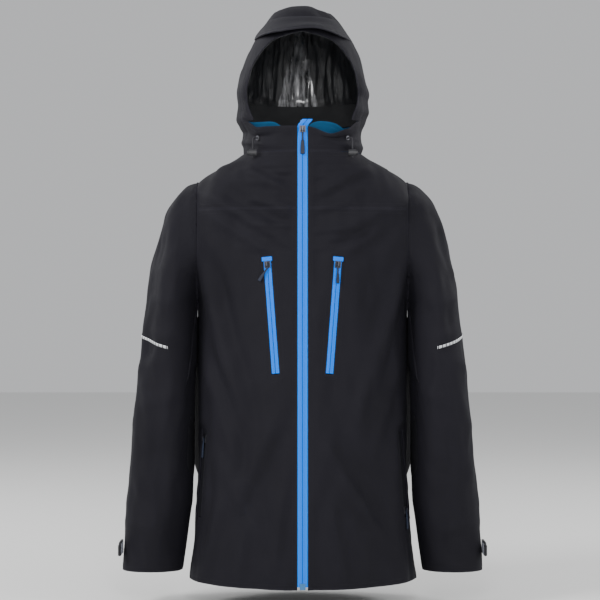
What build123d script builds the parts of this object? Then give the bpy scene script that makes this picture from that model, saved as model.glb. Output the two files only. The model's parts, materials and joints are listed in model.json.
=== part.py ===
"""A hooded ski jacket in its worn shape, as an assembly of sewn panels, zips and fittings.

Millimetres. +Z is up, the front faces -Y, and the wearer's left is +X. The origin is on the
middle of the shoulder line, at the base of the neck, where a wearer or a hanger carries it.
"""

import os
from math import cos, radians, sin, sqrt

from build123d import *

os.makedirs("parts", exist_ok=True)

# --- Driving dimensions ---------------------------------------------------------------------

# body
body_length = 752.0        # shoulder line to hem
hem_half_width = 202.0
hem_depth = 302.0          # front to back
waist_half_width = 181.0
waist_depth = 268.0
chest_depth = 266.0
neck_front = 101.0         # front of the neck, ahead of the origin
hem_front = 152.0          # front of the hem, ahead of the origin
shell_thickness = 1.6
lining_inset = 9.0         # outer face of the lining, below the outer face of the shell
lining_thickness = 1.0
yoke_depth = 96.0          # shoulder line to the yoke seam

# armholes and sleeves
armhole_x = 187.0          # armhole seam, from the middle
armhole_depth = 262.0      # shoulder line to armpit
shoulder_drop = 45.0       # shoulder line to the top of the sleeve
body_gap = 0.8             # free gap between pieces that move on each other
sleeve_length = 738.0      # shoulder line to the end of the cuff
cuff_half_width = 54.5
cuff_half_depth = 43.0
cuff_outside = 323.0       # outer side of the cuff, from the middle

# neck and hood
neck_half_width = 106.0
neck_depth = 176.0
collar_height = 60.0
hood_half_width = 121.5
hood_half_depth = 121.0
hood_height = 269.0
hood_band_y = -35.0        # seam between the face band and the hood panels
hood_seam_x = 45.0         # seams of the hood's centre panel
face_half_width = 100.0
face_top = 212.0
brim_reach = 24.0          # how far the brim stands ahead of the hood

# zips
main_tape_width = 18.0
pocket_tape_width = 14.0
tape_thickness = 1.2
tape_sink = 0.3            # tape face below the shell face
chain_slot = 1.6           # gap between the two halves, where the slider's post runs
coil_width = 2.2
coil_depth = 1.8
slider_length = 13.0
slider_plate = 1.3
slide_clearance = 0.35
bridge_window = 2.4        # height under the slider's bridge, where the pull's loop passes
loop_wire = 1.4
main_pull_length = 40.0
pocket_pull_length = 28.0
chest_zip_top = (62.0, -182.0)
chest_zip_bottom = (46.5, -384.0)
hand_zip_length = 150.0
hand_zip_top = -490.0
hand_zip_forward = 42.0    # how far the hand zip lies ahead of the side seam

# small parts
cuff_tab = (25.0, 70.0, 2.5)   # height, length, thickness
patch_thickness = 1.5
cord_diameter = 2.6
lock_radius = 5.5
lock_length = 13.0
button_travel = 3.0
stud_radius = 2.4
stud_length = 2.2


# --- Shapes that several pieces share --------------------------------------------------------

def front_y(z):
    """The straight front line that the main zip follows, from hem to chin."""
    return -neck_front + (hem_front - neck_front) * z / body_length


def body_station(z, half_width, depth, drop=0.0):
    """An ellipse across the body: height, half sizes, centre, and how fast an inset sinks it."""
    return z, half_width, depth / 2, 0.0, front_y(z) + depth / 2, drop


def below_armhole(share):
    """Height at a share of the way from the armpit to the hem."""
    return -armhole_depth - share * (body_length - armhole_depth)


def mix(low, high, share):
    return low + (high - low) * share


torso_stations = [
    body_station(below_armhole(1.0), hem_half_width, hem_depth),
    body_station(below_armhole(0.79), mix(waist_half_width, hem_half_width, 0.5),
                 mix(waist_depth, hem_depth, 0.65)),
    body_station(below_armhole(0.6), waist_half_width + 2.0, mix(waist_depth, hem_depth, 0.3)),
    body_station(below_armhole(0.4), waist_half_width - 1.0, waist_depth),
    body_station(below_armhole(0.16), waist_half_width + 2.0, waist_depth),
    body_station(-armhole_depth + 8.0, armhole_x + 2.0, chest_depth),
    body_station(-0.76 * armhole_depth, armhole_x + 25.0, 0.98 * chest_depth, 0.1),
    body_station(-0.61 * armhole_depth, armhole_x + 38.0, 0.95 * chest_depth, 0.2),
    body_station(-0.38 * armhole_depth, armhole_x + 35.0, 0.87 * chest_depth, 0.4),
    body_station(-shoulder_drop - 17.0, armhole_x + 13.0, 0.8 * chest_depth, 0.8),
    body_station(-0.8 * shoulder_drop, mix(neck_half_width, armhole_x, 0.77), 0.75 * chest_depth, 1.0),
    body_station(-0.49 * shoulder_drop, mix(neck_half_width, armhole_x, 0.53), 0.715 * chest_depth, 1.0),
    body_station(-6.0, neck_half_width + 13.0, neck_depth + 4.0, 1.0),
    body_station(4.0, neck_half_width, neck_depth),
]

hood_rise = hood_height - collar_height
hood_stations = [
    body_station(4.0, neck_half_width, neck_depth),
    body_station(0.6 * collar_height, neck_half_width - 1.0, neck_depth + 4.0),
    body_station(collar_height, neck_half_width + 7.0, neck_depth + 19.0),
    (collar_height + 0.14 * hood_rise, hood_half_width - 3.0, hood_half_depth - 9.0, 0.0, 7.0, 0.0),
    (collar_height + 0.28 * hood_rise, hood_half_width, hood_half_depth, 0.0, 8.0, 0.0),
    (collar_height + 0.46 * hood_rise, 0.9 * hood_half_width, hood_half_depth, 0.0, 4.0, 0.2),
    (collar_height + 0.64 * hood_rise, 0.78 * hood_half_width, 0.93 * hood_half_depth, 0.0, -2.0, 0.4),
    (collar_height + 0.80 * hood_rise, 0.61 * hood_half_width, 0.76 * hood_half_depth, 0.0, -4.0, 0.7),
    (collar_height + 0.92 * hood_rise, 0.45 * hood_half_width, 0.56 * hood_half_depth, 0.0, -4.0, 1.0),
    (collar_height + 0.98 * hood_rise, 0.28 * hood_half_width, 0.36 * hood_half_depth, 0.0, -4.0, 1.0),
    (collar_height + hood_rise, 0.15 * hood_half_width, 0.2 * hood_half_depth, 0.0, -4.0, 1.0),
]


def loft_solid(stations, inset=0.0):
    """The closed solid through a list of ellipses, drawn in by inset."""
    with BuildPart() as solid:
        sections = []
        for z, half_width, half_depth, x, y, drop in stations:
            with BuildSketch(Plane.XY.offset(z - inset * drop)) as section:
                with Locations((x, y)):
                    Ellipse(half_width - inset, half_depth - inset)
            sections.append(section.sketch.face())
        loft(sections=sections, ruled=True)
    return solid.part


def skin(stations, outer_inset, thickness):
    """A wall of the given thickness that follows the stations."""
    with BuildPart() as wall:
        add(loft_solid(stations, outer_inset))
        add(loft_solid(stations, outer_inset + thickness), mode=Mode.SUBTRACT)
    return wall.part


def block(x, y, z, mode=Mode.ADD):
    """A box from its (low, high) range on each axis."""
    with Locations(((x[0] + x[1]) / 2, (y[0] + y[1]) / 2, (z[0] + z[1]) / 2)):
        Box(x[1] - x[0], y[1] - y[0], z[1] - z[0], mode=mode)


def slab(plane, across, along, height, mode=Mode.ADD):
    """A box on a plane, from its (low, high) range across, along and above it."""
    with BuildSketch(plane.offset(height[0])) as outline:
        with Locations(((across[0] + across[1]) / 2, (along[0] + along[1]) / 2)):
            Rectangle(across[1] - across[0], along[1] - along[0])
    extrude(outline.sketch, amount=height[1] - height[0], mode=mode)


def strip_plane(bottom, top, outward):
    """A plane whose Y runs from bottom to top and whose Z points out of the fabric."""
    along = (Vector(*top) - Vector(*bottom)).normalized()
    out = Vector(*outward)
    out = (out - along * out.dot(along)).normalized()
    return Plane(origin=bottom, x_dir=along.cross(out), z_dir=out)


def section_at(stations, z):
    """Half width, half depth, x and y of the ellipse at a height, straight from station to station."""
    for low, high in zip(stations, stations[1:]):
        if low[0] <= z <= high[0]:
            share = (z - low[0]) / (high[0] - low[0])
            return [mix(low[i], high[i], share) for i in (1, 2, 3, 4)]
    return list(stations[0][1:5])


FAR = 1000.0
SIDES = (("left", 1), ("right", -1))
torso_solid = loft_solid(torso_stations)


def with_armholes(wall, edge):
    """A body wall cut back to a straight armhole on each side."""
    with BuildPart() as opened:
        add(wall)
        for _, side in SIDES:
            block(sorted((side * edge, side * FAR)), (-FAR, FAR), (-armhole_depth, FAR), Mode.SUBTRACT)
    return opened.part


torso_shell = with_armholes(skin(torso_stations, 0.0, shell_thickness), armhole_x)
hood_shell = skin(hood_stations, 0.0, shell_thickness)
zip_slot = main_tape_width / 2 + 0.2


# --- Zips: one plane each, tapes with their coils, a slider and a pull ------------------------

main_plane = strip_plane((0, front_y(-body_length), -body_length), (0, front_y(0), 0), (0, -1, 0))
main_run = (collar_height - 2.0 + body_length) * sqrt(1 + ((hem_front - neck_front) / body_length) ** 2)


def chest_point(side, place):
    """A point of the body's front surface from its distance from the middle and its height."""
    x, z = place
    half_width, half_depth, _, y = section_at(torso_stations, z)
    return side * x, y - half_depth * sqrt(1 - (x / half_width) ** 2), z


def chest_normal(side):
    x, z = mix(chest_zip_top[0], chest_zip_bottom[0], 0.5), mix(chest_zip_top[1], chest_zip_bottom[1], 0.5)
    half_width, half_depth, _, y = section_at(torso_stations, z)
    ahead = half_depth * sqrt(1 - (x / half_width) ** 2)
    return side * x / half_width**2, -ahead / half_depth**2, 0


def hand_point(side, z):
    """A point near the side seam, ahead of it by hand_zip_forward."""
    half_width, half_depth, _, y = section_at(torso_stations, z)
    return side * half_width * sqrt(1 - (hand_zip_forward / half_depth) ** 2), y - hand_zip_forward, z


def hand_normal(side):
    half_width, half_depth, _, y = section_at(torso_stations, hand_zip_top - hand_zip_length / 2)
    out = sqrt(1 - (hand_zip_forward / half_depth) ** 2) / half_width
    return side * out, -hand_zip_forward / half_depth**2, 0


chest_planes = {
    side: strip_plane(chest_point(side, chest_zip_bottom), chest_point(side, chest_zip_top), chest_normal(side))
    for _, side in SIDES
}
chest_run = (Vector(*chest_point(1, chest_zip_top)) - Vector(*chest_point(1, chest_zip_bottom))).length
hand_planes = {
    side: strip_plane(hand_point(side, hand_zip_top - hand_zip_length), hand_point(side, hand_zip_top),
                      hand_normal(side))
    for _, side in SIDES
}
hand_run = (Vector(*hand_point(1, hand_zip_top)) - Vector(*hand_point(1, hand_zip_top - hand_zip_length))).length
pocket_slot = pocket_tape_width / 2 + 0.8

tape_top = -tape_sink
tape_bottom = tape_top - tape_thickness
coil_bottom = tape_bottom - coil_depth
slider_back = coil_bottom - slide_clearance - slider_plate


def half_tape(plane, side, width, start, end):
    """One tape with the coil sewn behind its inner edge."""
    edge = sorted((side * chain_slot / 2, side * width / 2))
    rail = sorted((side * chain_slot / 2, side * (chain_slot / 2 + coil_width)))
    slab(plane, edge, (start, end), (tape_bottom, tape_top))
    slab(plane, rail, (start, end), (coil_bottom, tape_bottom))


def slider_body(plane, place):
    """Two plates joined by a post that runs in the chain slot, with a bridge for the pull."""
    half = 5.2
    ends = (place - slider_length / 2, place + slider_length / 2)
    slab(plane, (-half, half), ends, (tape_top + slide_clearance, tape_top + slide_clearance + slider_plate))
    slab(plane, (-half, half), ends, (slider_back, slider_back + slider_plate))
    post = chain_slot / 2 - slide_clearance
    slab(plane, (-post, post), (place, place + slider_length / 2), (slider_back, tape_top + slide_clearance))
    top = tape_top + slide_clearance + slider_plate
    slab(plane, (-1.0, 1.0), (place - 3.6, place + 3.6), (top, top + bridge_window + 1.4))
    slab(plane, (-1.0, 1.0), (place - 2.4, place + 2.4), (top, top + bridge_window), mode=Mode.SUBTRACT)


def pull_outline(plane, place, lean, length):
    """A wire loop through the bridge, and a cord and moulded grip below it that lean to one side."""
    eye = plane.offset(tape_top + slide_clearance + slider_plate + (bridge_window - loop_wire) / 2)
    frame = Plane(origin=eye.from_local_coords(Vector(0, place, 0)), x_dir=eye.x_dir, z_dir=eye.z_dir)
    loop_inside = 3.4
    reach = 9.0
    with BuildSketch(frame) as loop:
        with Locations((0, loop_wire / 2 - reach / 2)):
            Rectangle(loop_inside + 2 * loop_wire, reach)
            Rectangle(loop_inside, reach - 2 * loop_wire, mode=Mode.SUBTRACT)
    extrude(loop.sketch, amount=loop_wire)
    hinge = frame.offset(loop_wire / 2)
    hinge = Plane(origin=hinge.from_local_coords(Vector(0, loop_wire - reach, 0)), x_dir=hinge.x_dir,
                  z_dir=hinge.z_dir).rotated((0, 0, lean))
    slab(hinge, (-1.3, 1.3), (-0.45 * length, 0.4), (-0.8, 0.8))
    with BuildSketch(hinge.offset(-1.5)) as grip:
        with Locations((0, -0.65 * length)):
            RectangleRounded(0.2 * length, 0.6 * length, 0.08 * length)
    extrude(grip.sketch, amount=3.0)


main_rest = main_run - 16.0
with BuildPart() as main_slider:
    slider_body(main_plane, main_rest)
main_slider.part.label = "main_zip_slider"
export_step(main_slider.part, "parts/main_zip_slider.step")

with BuildPart() as main_pull:
    pull_outline(main_plane, main_rest, 0, main_pull_length)
main_pull.part.label = "main_zip_pull"
export_step(main_pull.part, "parts/main_zip_pull.step")

box_length = 12.0
for name, side in SIDES:
    with BuildPart() as tape:
        half_tape(main_plane, side, main_tape_width, box_length, main_run)
    tape.part.label = f"main_zip_tape_{name}"
    export_step(tape.part, f"parts/main_zip_tape_{name}.step")

with BuildPart() as stops:
    slab(main_plane, (-5.0, 5.0), (1.0, box_length - 0.2), (coil_bottom, tape_top + 1.2))
    for edge in (-2.6, 2.6):
        slab(main_plane, (edge - 1.4, edge + 1.4), (main_run - 5.0, main_run - 1.5), (tape_top, tape_top + 1.4))
stops.part.label = "main_zip_stops"
export_step(stops.part, "parts/main_zip_stops.step")

pocket_zips = {
    "chest": (chest_planes, chest_run, {1: chest_run - 12.0, -1: chest_run - 12.0}, {1: 4, -1: -38}),
    "hand": (hand_planes, hand_run, {1: 12.0, -1: hand_run - 12.0}, {1: 0, -1: 0}),
}
for kind, (planes, run, rests, leans) in pocket_zips.items():
    for name, side in SIDES:
        with BuildPart() as tapes:
            for half in (1, -1):
                half_tape(planes[side], half, pocket_tape_width, 3.0, run - 3.0)
            for end in ((0.0, 2.8), (run - 2.8, run)):
                slab(planes[side], (-pocket_tape_width / 2, pocket_tape_width / 2), end,
                     (tape_bottom, tape_top + 0.4))
        tapes.part.label = f"{kind}_zip_tapes_{name}"
        export_step(tapes.part, f"parts/{kind}_zip_tapes_{name}.step")

        with BuildPart() as slider:
            slider_body(planes[side], rests[side])
        slider.part.label = f"{kind}_zip_slider_{name}"
        export_step(slider.part, f"parts/{kind}_zip_slider_{name}.step")

        with BuildPart() as pull:
            pull_outline(planes[side], rests[side], leans[side], pocket_pull_length)
        pull.part.label = f"{kind}_zip_pull_{name}"
        export_step(pull.part, f"parts/{kind}_zip_pull_{name}.step")


# --- Body panels, cut from one shell at their seams --------------------------------------------

for name, side in SIDES:
    with BuildPart() as front:
        add(torso_shell)
        block(sorted((side * zip_slot, side * FAR)), (-FAR, 0), (-body_length, -yoke_depth), Mode.INTERSECT)
        slab(chest_planes[side], (-pocket_slot, pocket_slot), (-0.3, chest_run + 0.3), (-12, 12), Mode.SUBTRACT)
        slab(hand_planes[side], (-pocket_slot, pocket_slot), (-0.3, hand_run + 0.3), (-12, 12), Mode.SUBTRACT)
    front.part.label = f"front_panel_{name}"
    export_step(front.part, f"parts/front_panel_{name}.step")

with BuildPart() as back:
    add(torso_shell)
    block((-FAR, FAR), (0, FAR), (-body_length, -yoke_depth), Mode.INTERSECT)
back.part.label = "back_panel"
export_step(back.part, "parts/back_panel.step")

with BuildPart() as yoke:
    add(torso_shell)
    block((-FAR, FAR), (-FAR, FAR), (-yoke_depth, 4.0), Mode.INTERSECT)
    block((-zip_slot, zip_slot), (-FAR, 0), (-FAR, FAR), Mode.SUBTRACT)
yoke.part.label = "shoulder_yoke"
export_step(yoke.part, "parts/shoulder_yoke.step")

hem_facing_height = 35.0
facing_gap = 24.0
with BuildPart() as lining:
    add(with_armholes(skin(torso_stations, lining_inset, lining_thickness), armhole_x - 2.0))
    block((-FAR, FAR), (-FAR, FAR), (-body_length + hem_facing_height + 3.0, -8.0), Mode.INTERSECT)
    block((-facing_gap, facing_gap), (-FAR, 0), (-FAR, FAR), Mode.SUBTRACT)
lining.part.label = "body_lining"
export_step(lining.part, "parts/body_lining.step")

with BuildPart() as hem_facing:
    add(skin(torso_stations, shell_thickness + 0.3, 1.0))
    block((-FAR, FAR), (-FAR, FAR), (-body_length + 1.0, -body_length + hem_facing_height), Mode.INTERSECT)
    block((-zip_slot, zip_slot), (-FAR, 0), (-FAR, FAR), Mode.SUBTRACT)
hem_facing.part.label = "hem_facing"
export_step(hem_facing.part, "parts/hem_facing.step")

with BuildPart() as storm_flap:
    flap_top = slider_back - 1.0
    slab(main_plane, (-facing_gap + 4.0, facing_gap - 4.0), (4.0, body_length - 12.0), (flap_top - 1.2, flap_top))
storm_flap.part.label = "storm_flap"
export_step(storm_flap.part, "parts/storm_flap.step")

# pocket bags hang between shell and lining
bag_inset = -slider_back + 0.8
for name, side in SIDES:
    with BuildPart() as chest_bag:
        add(skin(torso_stations, bag_inset, 1.2))
        block(sorted((side * 36.0, side * 140.0)), (-FAR, 0),
              (chest_zip_bottom[1] - 14.0, chest_zip_top[1] + 8.0), Mode.INTERSECT)
    chest_bag.part.label = f"chest_pocket_bag_{name}"
    export_step(chest_bag.part, f"parts/chest_pocket_bag_{name}.step")

    with BuildPart() as hand_bag:
        add(skin(torso_stations, bag_inset, 1.2))
        hand_low = hand_zip_top - hand_zip_length
        block(sorted((side * 60.0, side * 400.0)), (-FAR, -hand_zip_forward + 22.0),
              (hand_low - 20.0, hand_zip_top + 8.0), Mode.INTERSECT)
    hand_bag.part.label = f"hand_pocket_bag_{name}"
    export_step(hand_bag.part, f"parts/hand_pocket_bag_{name}.step")

    with BuildPart() as welt:
        slab(hand_planes[side], sorted((side * (pocket_slot + 0.4), side * (pocket_slot + 11.0))),
             (-6.0, hand_run + 6.0), (-1.0, 3.0))
        add(loft_solid(torso_stations, -0.3), mode=Mode.SUBTRACT)
    welt.part.label = f"hand_pocket_welt_{name}"
    export_step(welt.part, f"parts/hand_pocket_welt_{name}.step")


# --- Powder skirt ------------------------------------------------------------------------------

skirt_top = -mix(armhole_depth, body_length, 0.42)
skirt_drop = 125.0
skirt_thickness = 1.2


def skirt_station(share):
    """The skirt hangs from the lining and draws in towards its grip."""
    z = skirt_top - share * skirt_drop
    half_width, half_depth, _, y = section_at(torso_stations, z)
    room = lining_inset + lining_thickness + 2.0 + 14.0 * share
    return z, half_width - room, half_depth - room, 0.0, y, 0.0


skirt_stations = [skirt_station(share) for share in (1.0, 0.5, 0.0)]
with BuildPart() as skirt:
    add(skin(skirt_stations, 0.0, skirt_thickness))
    block((-6, 6), (-FAR, 0), (-FAR, FAR), Mode.SUBTRACT)
skirt.part.label = "powder_skirt"
export_step(skirt.part, "parts/powder_skirt.step")

with BuildPart() as grip_tape:
    add(skin(skirt_stations, skirt_thickness + 0.2, 0.8))
    block((-FAR, FAR), (-FAR, FAR), (skirt_top - skirt_drop, skirt_top - skirt_drop + 20.0), Mode.INTERSECT)
    block((-8, 8), (-FAR, 0), (-FAR, FAR), Mode.SUBTRACT)
grip_tape.part.label = "skirt_grip_tape"
export_step(grip_tape.part, "parts/skirt_grip_tape.step")

# two snap studs at the back of the skirt, to link it to a pair of ski trousers
snap_z = skirt_top - 0.55 * skirt_drop
snap_x = 30.0
with BuildPart() as snaps:
    width, depth, middle = [skirt_station(0.55)[i] for i in (1, 2, 4)]
    cap_y = middle + (depth - skirt_thickness) * sqrt(1 - ((snap_x + 7.0) / (width - skirt_thickness)) ** 2) - 0.8
    for x in (-snap_x, snap_x):
        face = Plane(origin=(x, cap_y, snap_z), z_dir=(0, -1, 0))
        with BuildSketch(face) as disc:
            Circle(6.0)
        extrude(disc.sketch, amount=1.4)
        with BuildSketch(face.offset(1.4)) as stud:
            Circle(stud_radius)
        extrude(stud.sketch, amount=stud_length)
snaps.part.label = "skirt_snap_studs"
export_step(snaps.part, "parts/skirt_snap_studs.step")


# --- Collar ------------------------------------------------------------------------------------

with BuildPart() as collar:
    add(hood_shell)
    block((-FAR, FAR), (-FAR, hood_band_y), (4.0, collar_height), Mode.INTERSECT)
    block((-zip_slot, zip_slot), (-FAR, 0), (-FAR, FAR), Mode.SUBTRACT)
collar.part.label = "collar_shell"
export_step(collar.part, "parts/collar_shell.step")

with BuildPart() as facing:
    add(skin(hood_stations, shell_thickness + 0.4, 1.0))
    block((-FAR, FAR), (-FAR, FAR), (5.0, collar_height - 0.5), Mode.INTERSECT)
    block((-zip_slot, zip_slot), (-FAR, 0), (-FAR, FAR), Mode.SUBTRACT)
facing.part.label = "collar_facing"
export_step(facing.part, "parts/collar_facing.step")

loop_width = 60.0
loop_rise = 8.0
loop_gap = 8.0
neck_back = front_y(30) + neck_depth + 4.0 - shell_thickness - 2.0
with BuildPart() as hanger:
    loop_back = neck_back - 5.5
    block((-loop_width / 2, loop_width / 2), (loop_back - loop_gap - 1.4, loop_back),
          (0.5 * collar_height, 0.5 * collar_height + loop_rise))
    block((-loop_width / 2 + 8.0, loop_width / 2 - 8.0), (loop_back - loop_gap, loop_back + 1.0),
          (0.0, collar_height), Mode.SUBTRACT)
hanger.part.label = "hanger_loop"
export_step(hanger.part, "parts/hanger_loop.step")


# --- Hood: three panels and a lining that fold, and a front bow that swings back --------------

with BuildPart() as face_opening:
    with BuildSketch(Plane.XZ) as opening:
        with BuildLine():
            side_curve = Spline(
                (0.88 * face_half_width, collar_height),
                (face_half_width, mix(collar_height, face_top, 0.36)),
                (0.9 * face_half_width, mix(collar_height, face_top, 0.66)),
                (0.55 * face_half_width, mix(collar_height, face_top, 0.94)),
                (0, face_top),
                tangents=[(0.3, 1), (-1, 0)],
            )
            Line((0, face_top), (0, collar_height))
            Line((0, collar_height), side_curve @ 0)
        make_face()
        mirror(about=Plane.YZ)
    extrude(amount=FAR)

with BuildPart() as hood_back:
    add(hood_shell)
    block((-FAR, FAR), (hood_band_y, FAR), (4.0, FAR), Mode.INTERSECT)
    block((-FAR, FAR), (hood_band_y, hood_band_y + body_gap), (collar_height, FAR), Mode.SUBTRACT)

with BuildPart() as centre:
    add(hood_back.part)
    block((-hood_seam_x, hood_seam_x), (-FAR, FAR), (-FAR, FAR), Mode.INTERSECT)
centre.part.label = "hood_centre_panel"
export_step(centre.part, "parts/hood_centre_panel.step")

for name, side in SIDES:
    with BuildPart() as hood_side:
        add(hood_back.part)
        block(sorted((side * hood_seam_x, side * FAR)), (-FAR, FAR), (-FAR, FAR), Mode.INTERSECT)
    hood_side.part.label = f"hood_side_{name}"
    export_step(hood_side.part, f"parts/hood_side_{name}.step")

with BuildPart() as hood_lining:
    add(skin(hood_stations, shell_thickness + 0.5, 0.9))
    block((-FAR, FAR), (-FAR, FAR), (collar_height + 2.0, FAR), Mode.INTERSECT)
    add(face_opening.part, mode=Mode.SUBTRACT)
hood_lining.part.label = "hood_lining"
export_step(hood_lining.part, "parts/hood_lining.step")

with BuildPart() as face_band:
    add(hood_shell)
    block((-FAR, FAR), (-FAR, hood_band_y), (collar_height + 2.0, FAR), Mode.INTERSECT)
    add(face_opening.part, mode=Mode.SUBTRACT)
face_band.part.label = "hood_face_band"
export_step(face_band.part, "parts/hood_face_band.step")



def brim_station(z, wider, deeper):
    """An ellipse that stands off the hood at a height."""
    half_width, half_depth, x, y = section_at(hood_stations, z)
    return z, half_width + wider, half_depth + deeper, x, y, 0.0


brim_stations = [
    brim_station(face_top - 8.0, 5.0, brim_reach),
    brim_station(face_top + 9.0, 4.0, 0.45 * brim_reach),
    brim_station(face_top + 28.0, 2.5, 2.5),
]
with BuildPart() as brim:
    add(skin(brim_stations, 0.0, 2.0))
    block((-FAR, FAR), (-FAR, hood_band_y - 8.0), (-FAR, FAR), Mode.INTERSECT)
    add(loft_solid(hood_stations, -0.4), mode=Mode.SUBTRACT)
brim.part.label = "hood_brim"
export_step(brim.part, "parts/hood_brim.step")


# --- Sleeves -----------------------------------------------------------------------------------

def sleeve_station(z, outside, inside, half_depth, y=-4.0, drop=0.0):
    return z, (outside - inside) / 2, half_depth, (outside + inside) / 2, y, drop


def down_sleeve(share):
    """Height at a share of the way from the armpit to the end of the cuff."""
    return -armhole_depth - share * (sleeve_length - armhole_depth)


def beside_body(z):
    """The inner side of the sleeve, clear of the body and outside the armhole seam."""
    return max(section_at(torso_stations, z)[0] + 3.0, armhole_x + 3.0)


armpit_outside = armhole_x + 93.0
cuff_inside = max(cuff_outside - 2 * cuff_half_width, beside_body(down_sleeve(1.0)))
cuff_edge = cuff_inside + 2 * cuff_half_width
left_sleeve_stations = [
    (down_sleeve(1.0), cuff_half_width, cuff_half_depth, cuff_inside + cuff_half_width, -4.0, 0.0),
    sleeve_station(down_sleeve(0.8), mix(armpit_outside, cuff_edge, 0.85),
                   max(mix(armhole_x, cuff_inside, 0.5), beside_body(down_sleeve(0.8))),
                   mix(80.0, cuff_half_depth, 0.72)),
    sleeve_station(down_sleeve(0.62), mix(armpit_outside, cuff_edge, 0.69), beside_body(down_sleeve(0.62)),
                   mix(80.0, cuff_half_depth, 0.5)),
    sleeve_station(down_sleeve(0.41), mix(armpit_outside, cuff_edge, 0.49), beside_body(down_sleeve(0.41)),
                   mix(80.0, cuff_half_depth, 0.34)),
    sleeve_station(down_sleeve(0.16), mix(armpit_outside, cuff_edge, 0.2), beside_body(down_sleeve(0.16)),
                   77.0, 2.0),
    sleeve_station(-armhole_depth, armpit_outside, armhole_x + 3.0, 80.0, 8.0),
    sleeve_station(-0.76 * armhole_depth, armhole_x + 83.5, armhole_x - 27.0, 80.0, 12.0),
    sleeve_station(-0.57 * armhole_depth, armhole_x + 73.0, armhole_x - 67.0, 74.0, 12.0),
    sleeve_station(-0.38 * armhole_depth, armhole_x + 58.0, armhole_x - 72.0, 62.0, 7.0, 0.3),
    sleeve_station(-shoulder_drop - 25.0, armhole_x + 39.5, armhole_x - 63.5, 45.0, 2.0, 0.6),
    sleeve_station(-shoulder_drop - 7.0, armhole_x + 18.0, armhole_x - 48.0, 28.0, 0.0, 0.9),
    sleeve_station(-shoulder_drop, armhole_x + 5.0, armhole_x - 39.0, 18.0, 0.0, 1.0),
]


def outer_sleeve_x(z):
    """Outer side of the left sleeve at a height."""
    half_width, _, x, _ = section_at(left_sleeve_stations, z)
    return x + half_width


def on_side(part, side):
    """A part of the left side, or its mirror image for the right."""
    return part if side > 0 else mirror(part, about=Plane.YZ, mode=Mode.PRIVATE)


with BuildPart() as left_sleeve:
    add(skin(left_sleeve_stations, 0.0, shell_thickness))
    block((armhole_x + body_gap, FAR), (-FAR, FAR), (-FAR, FAR), Mode.INTERSECT)

with BuildPart() as left_sleeve_lining:
    add(skin(left_sleeve_stations, shell_thickness + 0.5, 0.8))
    block((armhole_x + body_gap + 1.0, FAR), (-FAR, FAR), (-sleeve_length + 12.0, -shoulder_drop - 9.0),
          Mode.INTERSECT)

# reflective piping set in the elbow seam, on the outer front quarter of the sleeve
strip_z = -mix(armhole_depth, sleeve_length, 0.15)
with BuildPart() as left_strip:
    add(skin(left_sleeve_stations, -1.1, 0.8))
    band = Plane(origin=(outer_sleeve_x(strip_z), 0, strip_z + 6.0), x_dir=(0.87, 0, 0.49), z_dir=(-0.49, 0, 0.87))
    slab(band, (-62.0, 8.0), (-FAR, FAR), (-2.5, 2.5), Mode.INTERSECT)
    block((armhole_x + 50.0, FAR), (-FAR, 10.0), (-FAR, FAR), Mode.INTERSECT)

# hook-and-loop tab over the back of the wrist
tab_height, tab_length, tab_thickness = cuff_tab
tab_z = -sleeve_length + 38.0
tab_x = outer_sleeve_x(tab_z - tab_height / 2) + patch_thickness + 1.6
tab_back_y = -4.0 + 0.45 * tab_length
with BuildPart() as left_patch:
    block((tab_x - patch_thickness - 0.4, tab_x - 0.4), (tab_back_y - 0.85 * tab_length, tab_back_y - 0.25 * tab_length),
          (tab_z - 0.4 * tab_height, tab_z + 0.4 * tab_height))
    add(loft_solid(left_sleeve_stations, -0.2), mode=Mode.SUBTRACT)

with BuildPart() as left_tab:
    block((tab_x, tab_x + tab_thickness), (tab_back_y - tab_length, tab_back_y),
          (tab_z - tab_height / 2, tab_z + tab_height / 2))
    fillet(left_tab.edges().filter_by(Axis.X).group_by(Axis.Y)[0], 0.3 * tab_height)

for name, side in SIDES:
    for kind, piece in (
        ("sleeve", left_sleeve),
        ("sleeve_lining", left_sleeve_lining),
        ("reflective_strip", left_strip),
        ("cuff_loop_patch", left_patch),
        ("cuff_tab", left_tab),
    ):
        shaped = on_side(piece.part, side)
        shaped.label = f"{kind}_{name}"
        export_step(shaped, f"parts/{kind}_{name}.step")


# --- Hood adjusters: an eyelet, a cord, and a lock with a sprung button on each side ----------

eyelet_z = 0.47 * collar_height
eyelet_turn = 42.0         # degrees round the collar from its side
cord_hole = cord_diameter / 2 + 0.35
half_width, half_depth, _, y = section_at(hood_stations, eyelet_z)
eyelet = Vector(half_width * cos(radians(eyelet_turn)), y - half_depth * sin(radians(eyelet_turn)), eyelet_z)
eyelet_out = Vector(cos(radians(eyelet_turn)) / half_width, -sin(radians(eyelet_turn)) / half_depth, 0).normalized()
cord_turn = eyelet + eyelet_out * 13.0
lock_x, lock_y, lock_z = cord_turn.X, cord_turn.Y - 2.0, 2.0
cord_points = [
    eyelet + eyelet_out * 0.6,
    cord_turn,
    (lock_x, lock_y, lock_z + lock_radius + 2.0),
    (lock_x, lock_y, lock_z - lock_radius - 4.0),
]

with BuildPart() as left_cord:
    with BuildLine() as route:
        FilletPolyline(*cord_points, radius=8.0)
    with BuildSketch(Plane(origin=route.line @ 0, z_dir=route.line % 0)):
        Circle(cord_diameter / 2)
    sweep()

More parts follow.
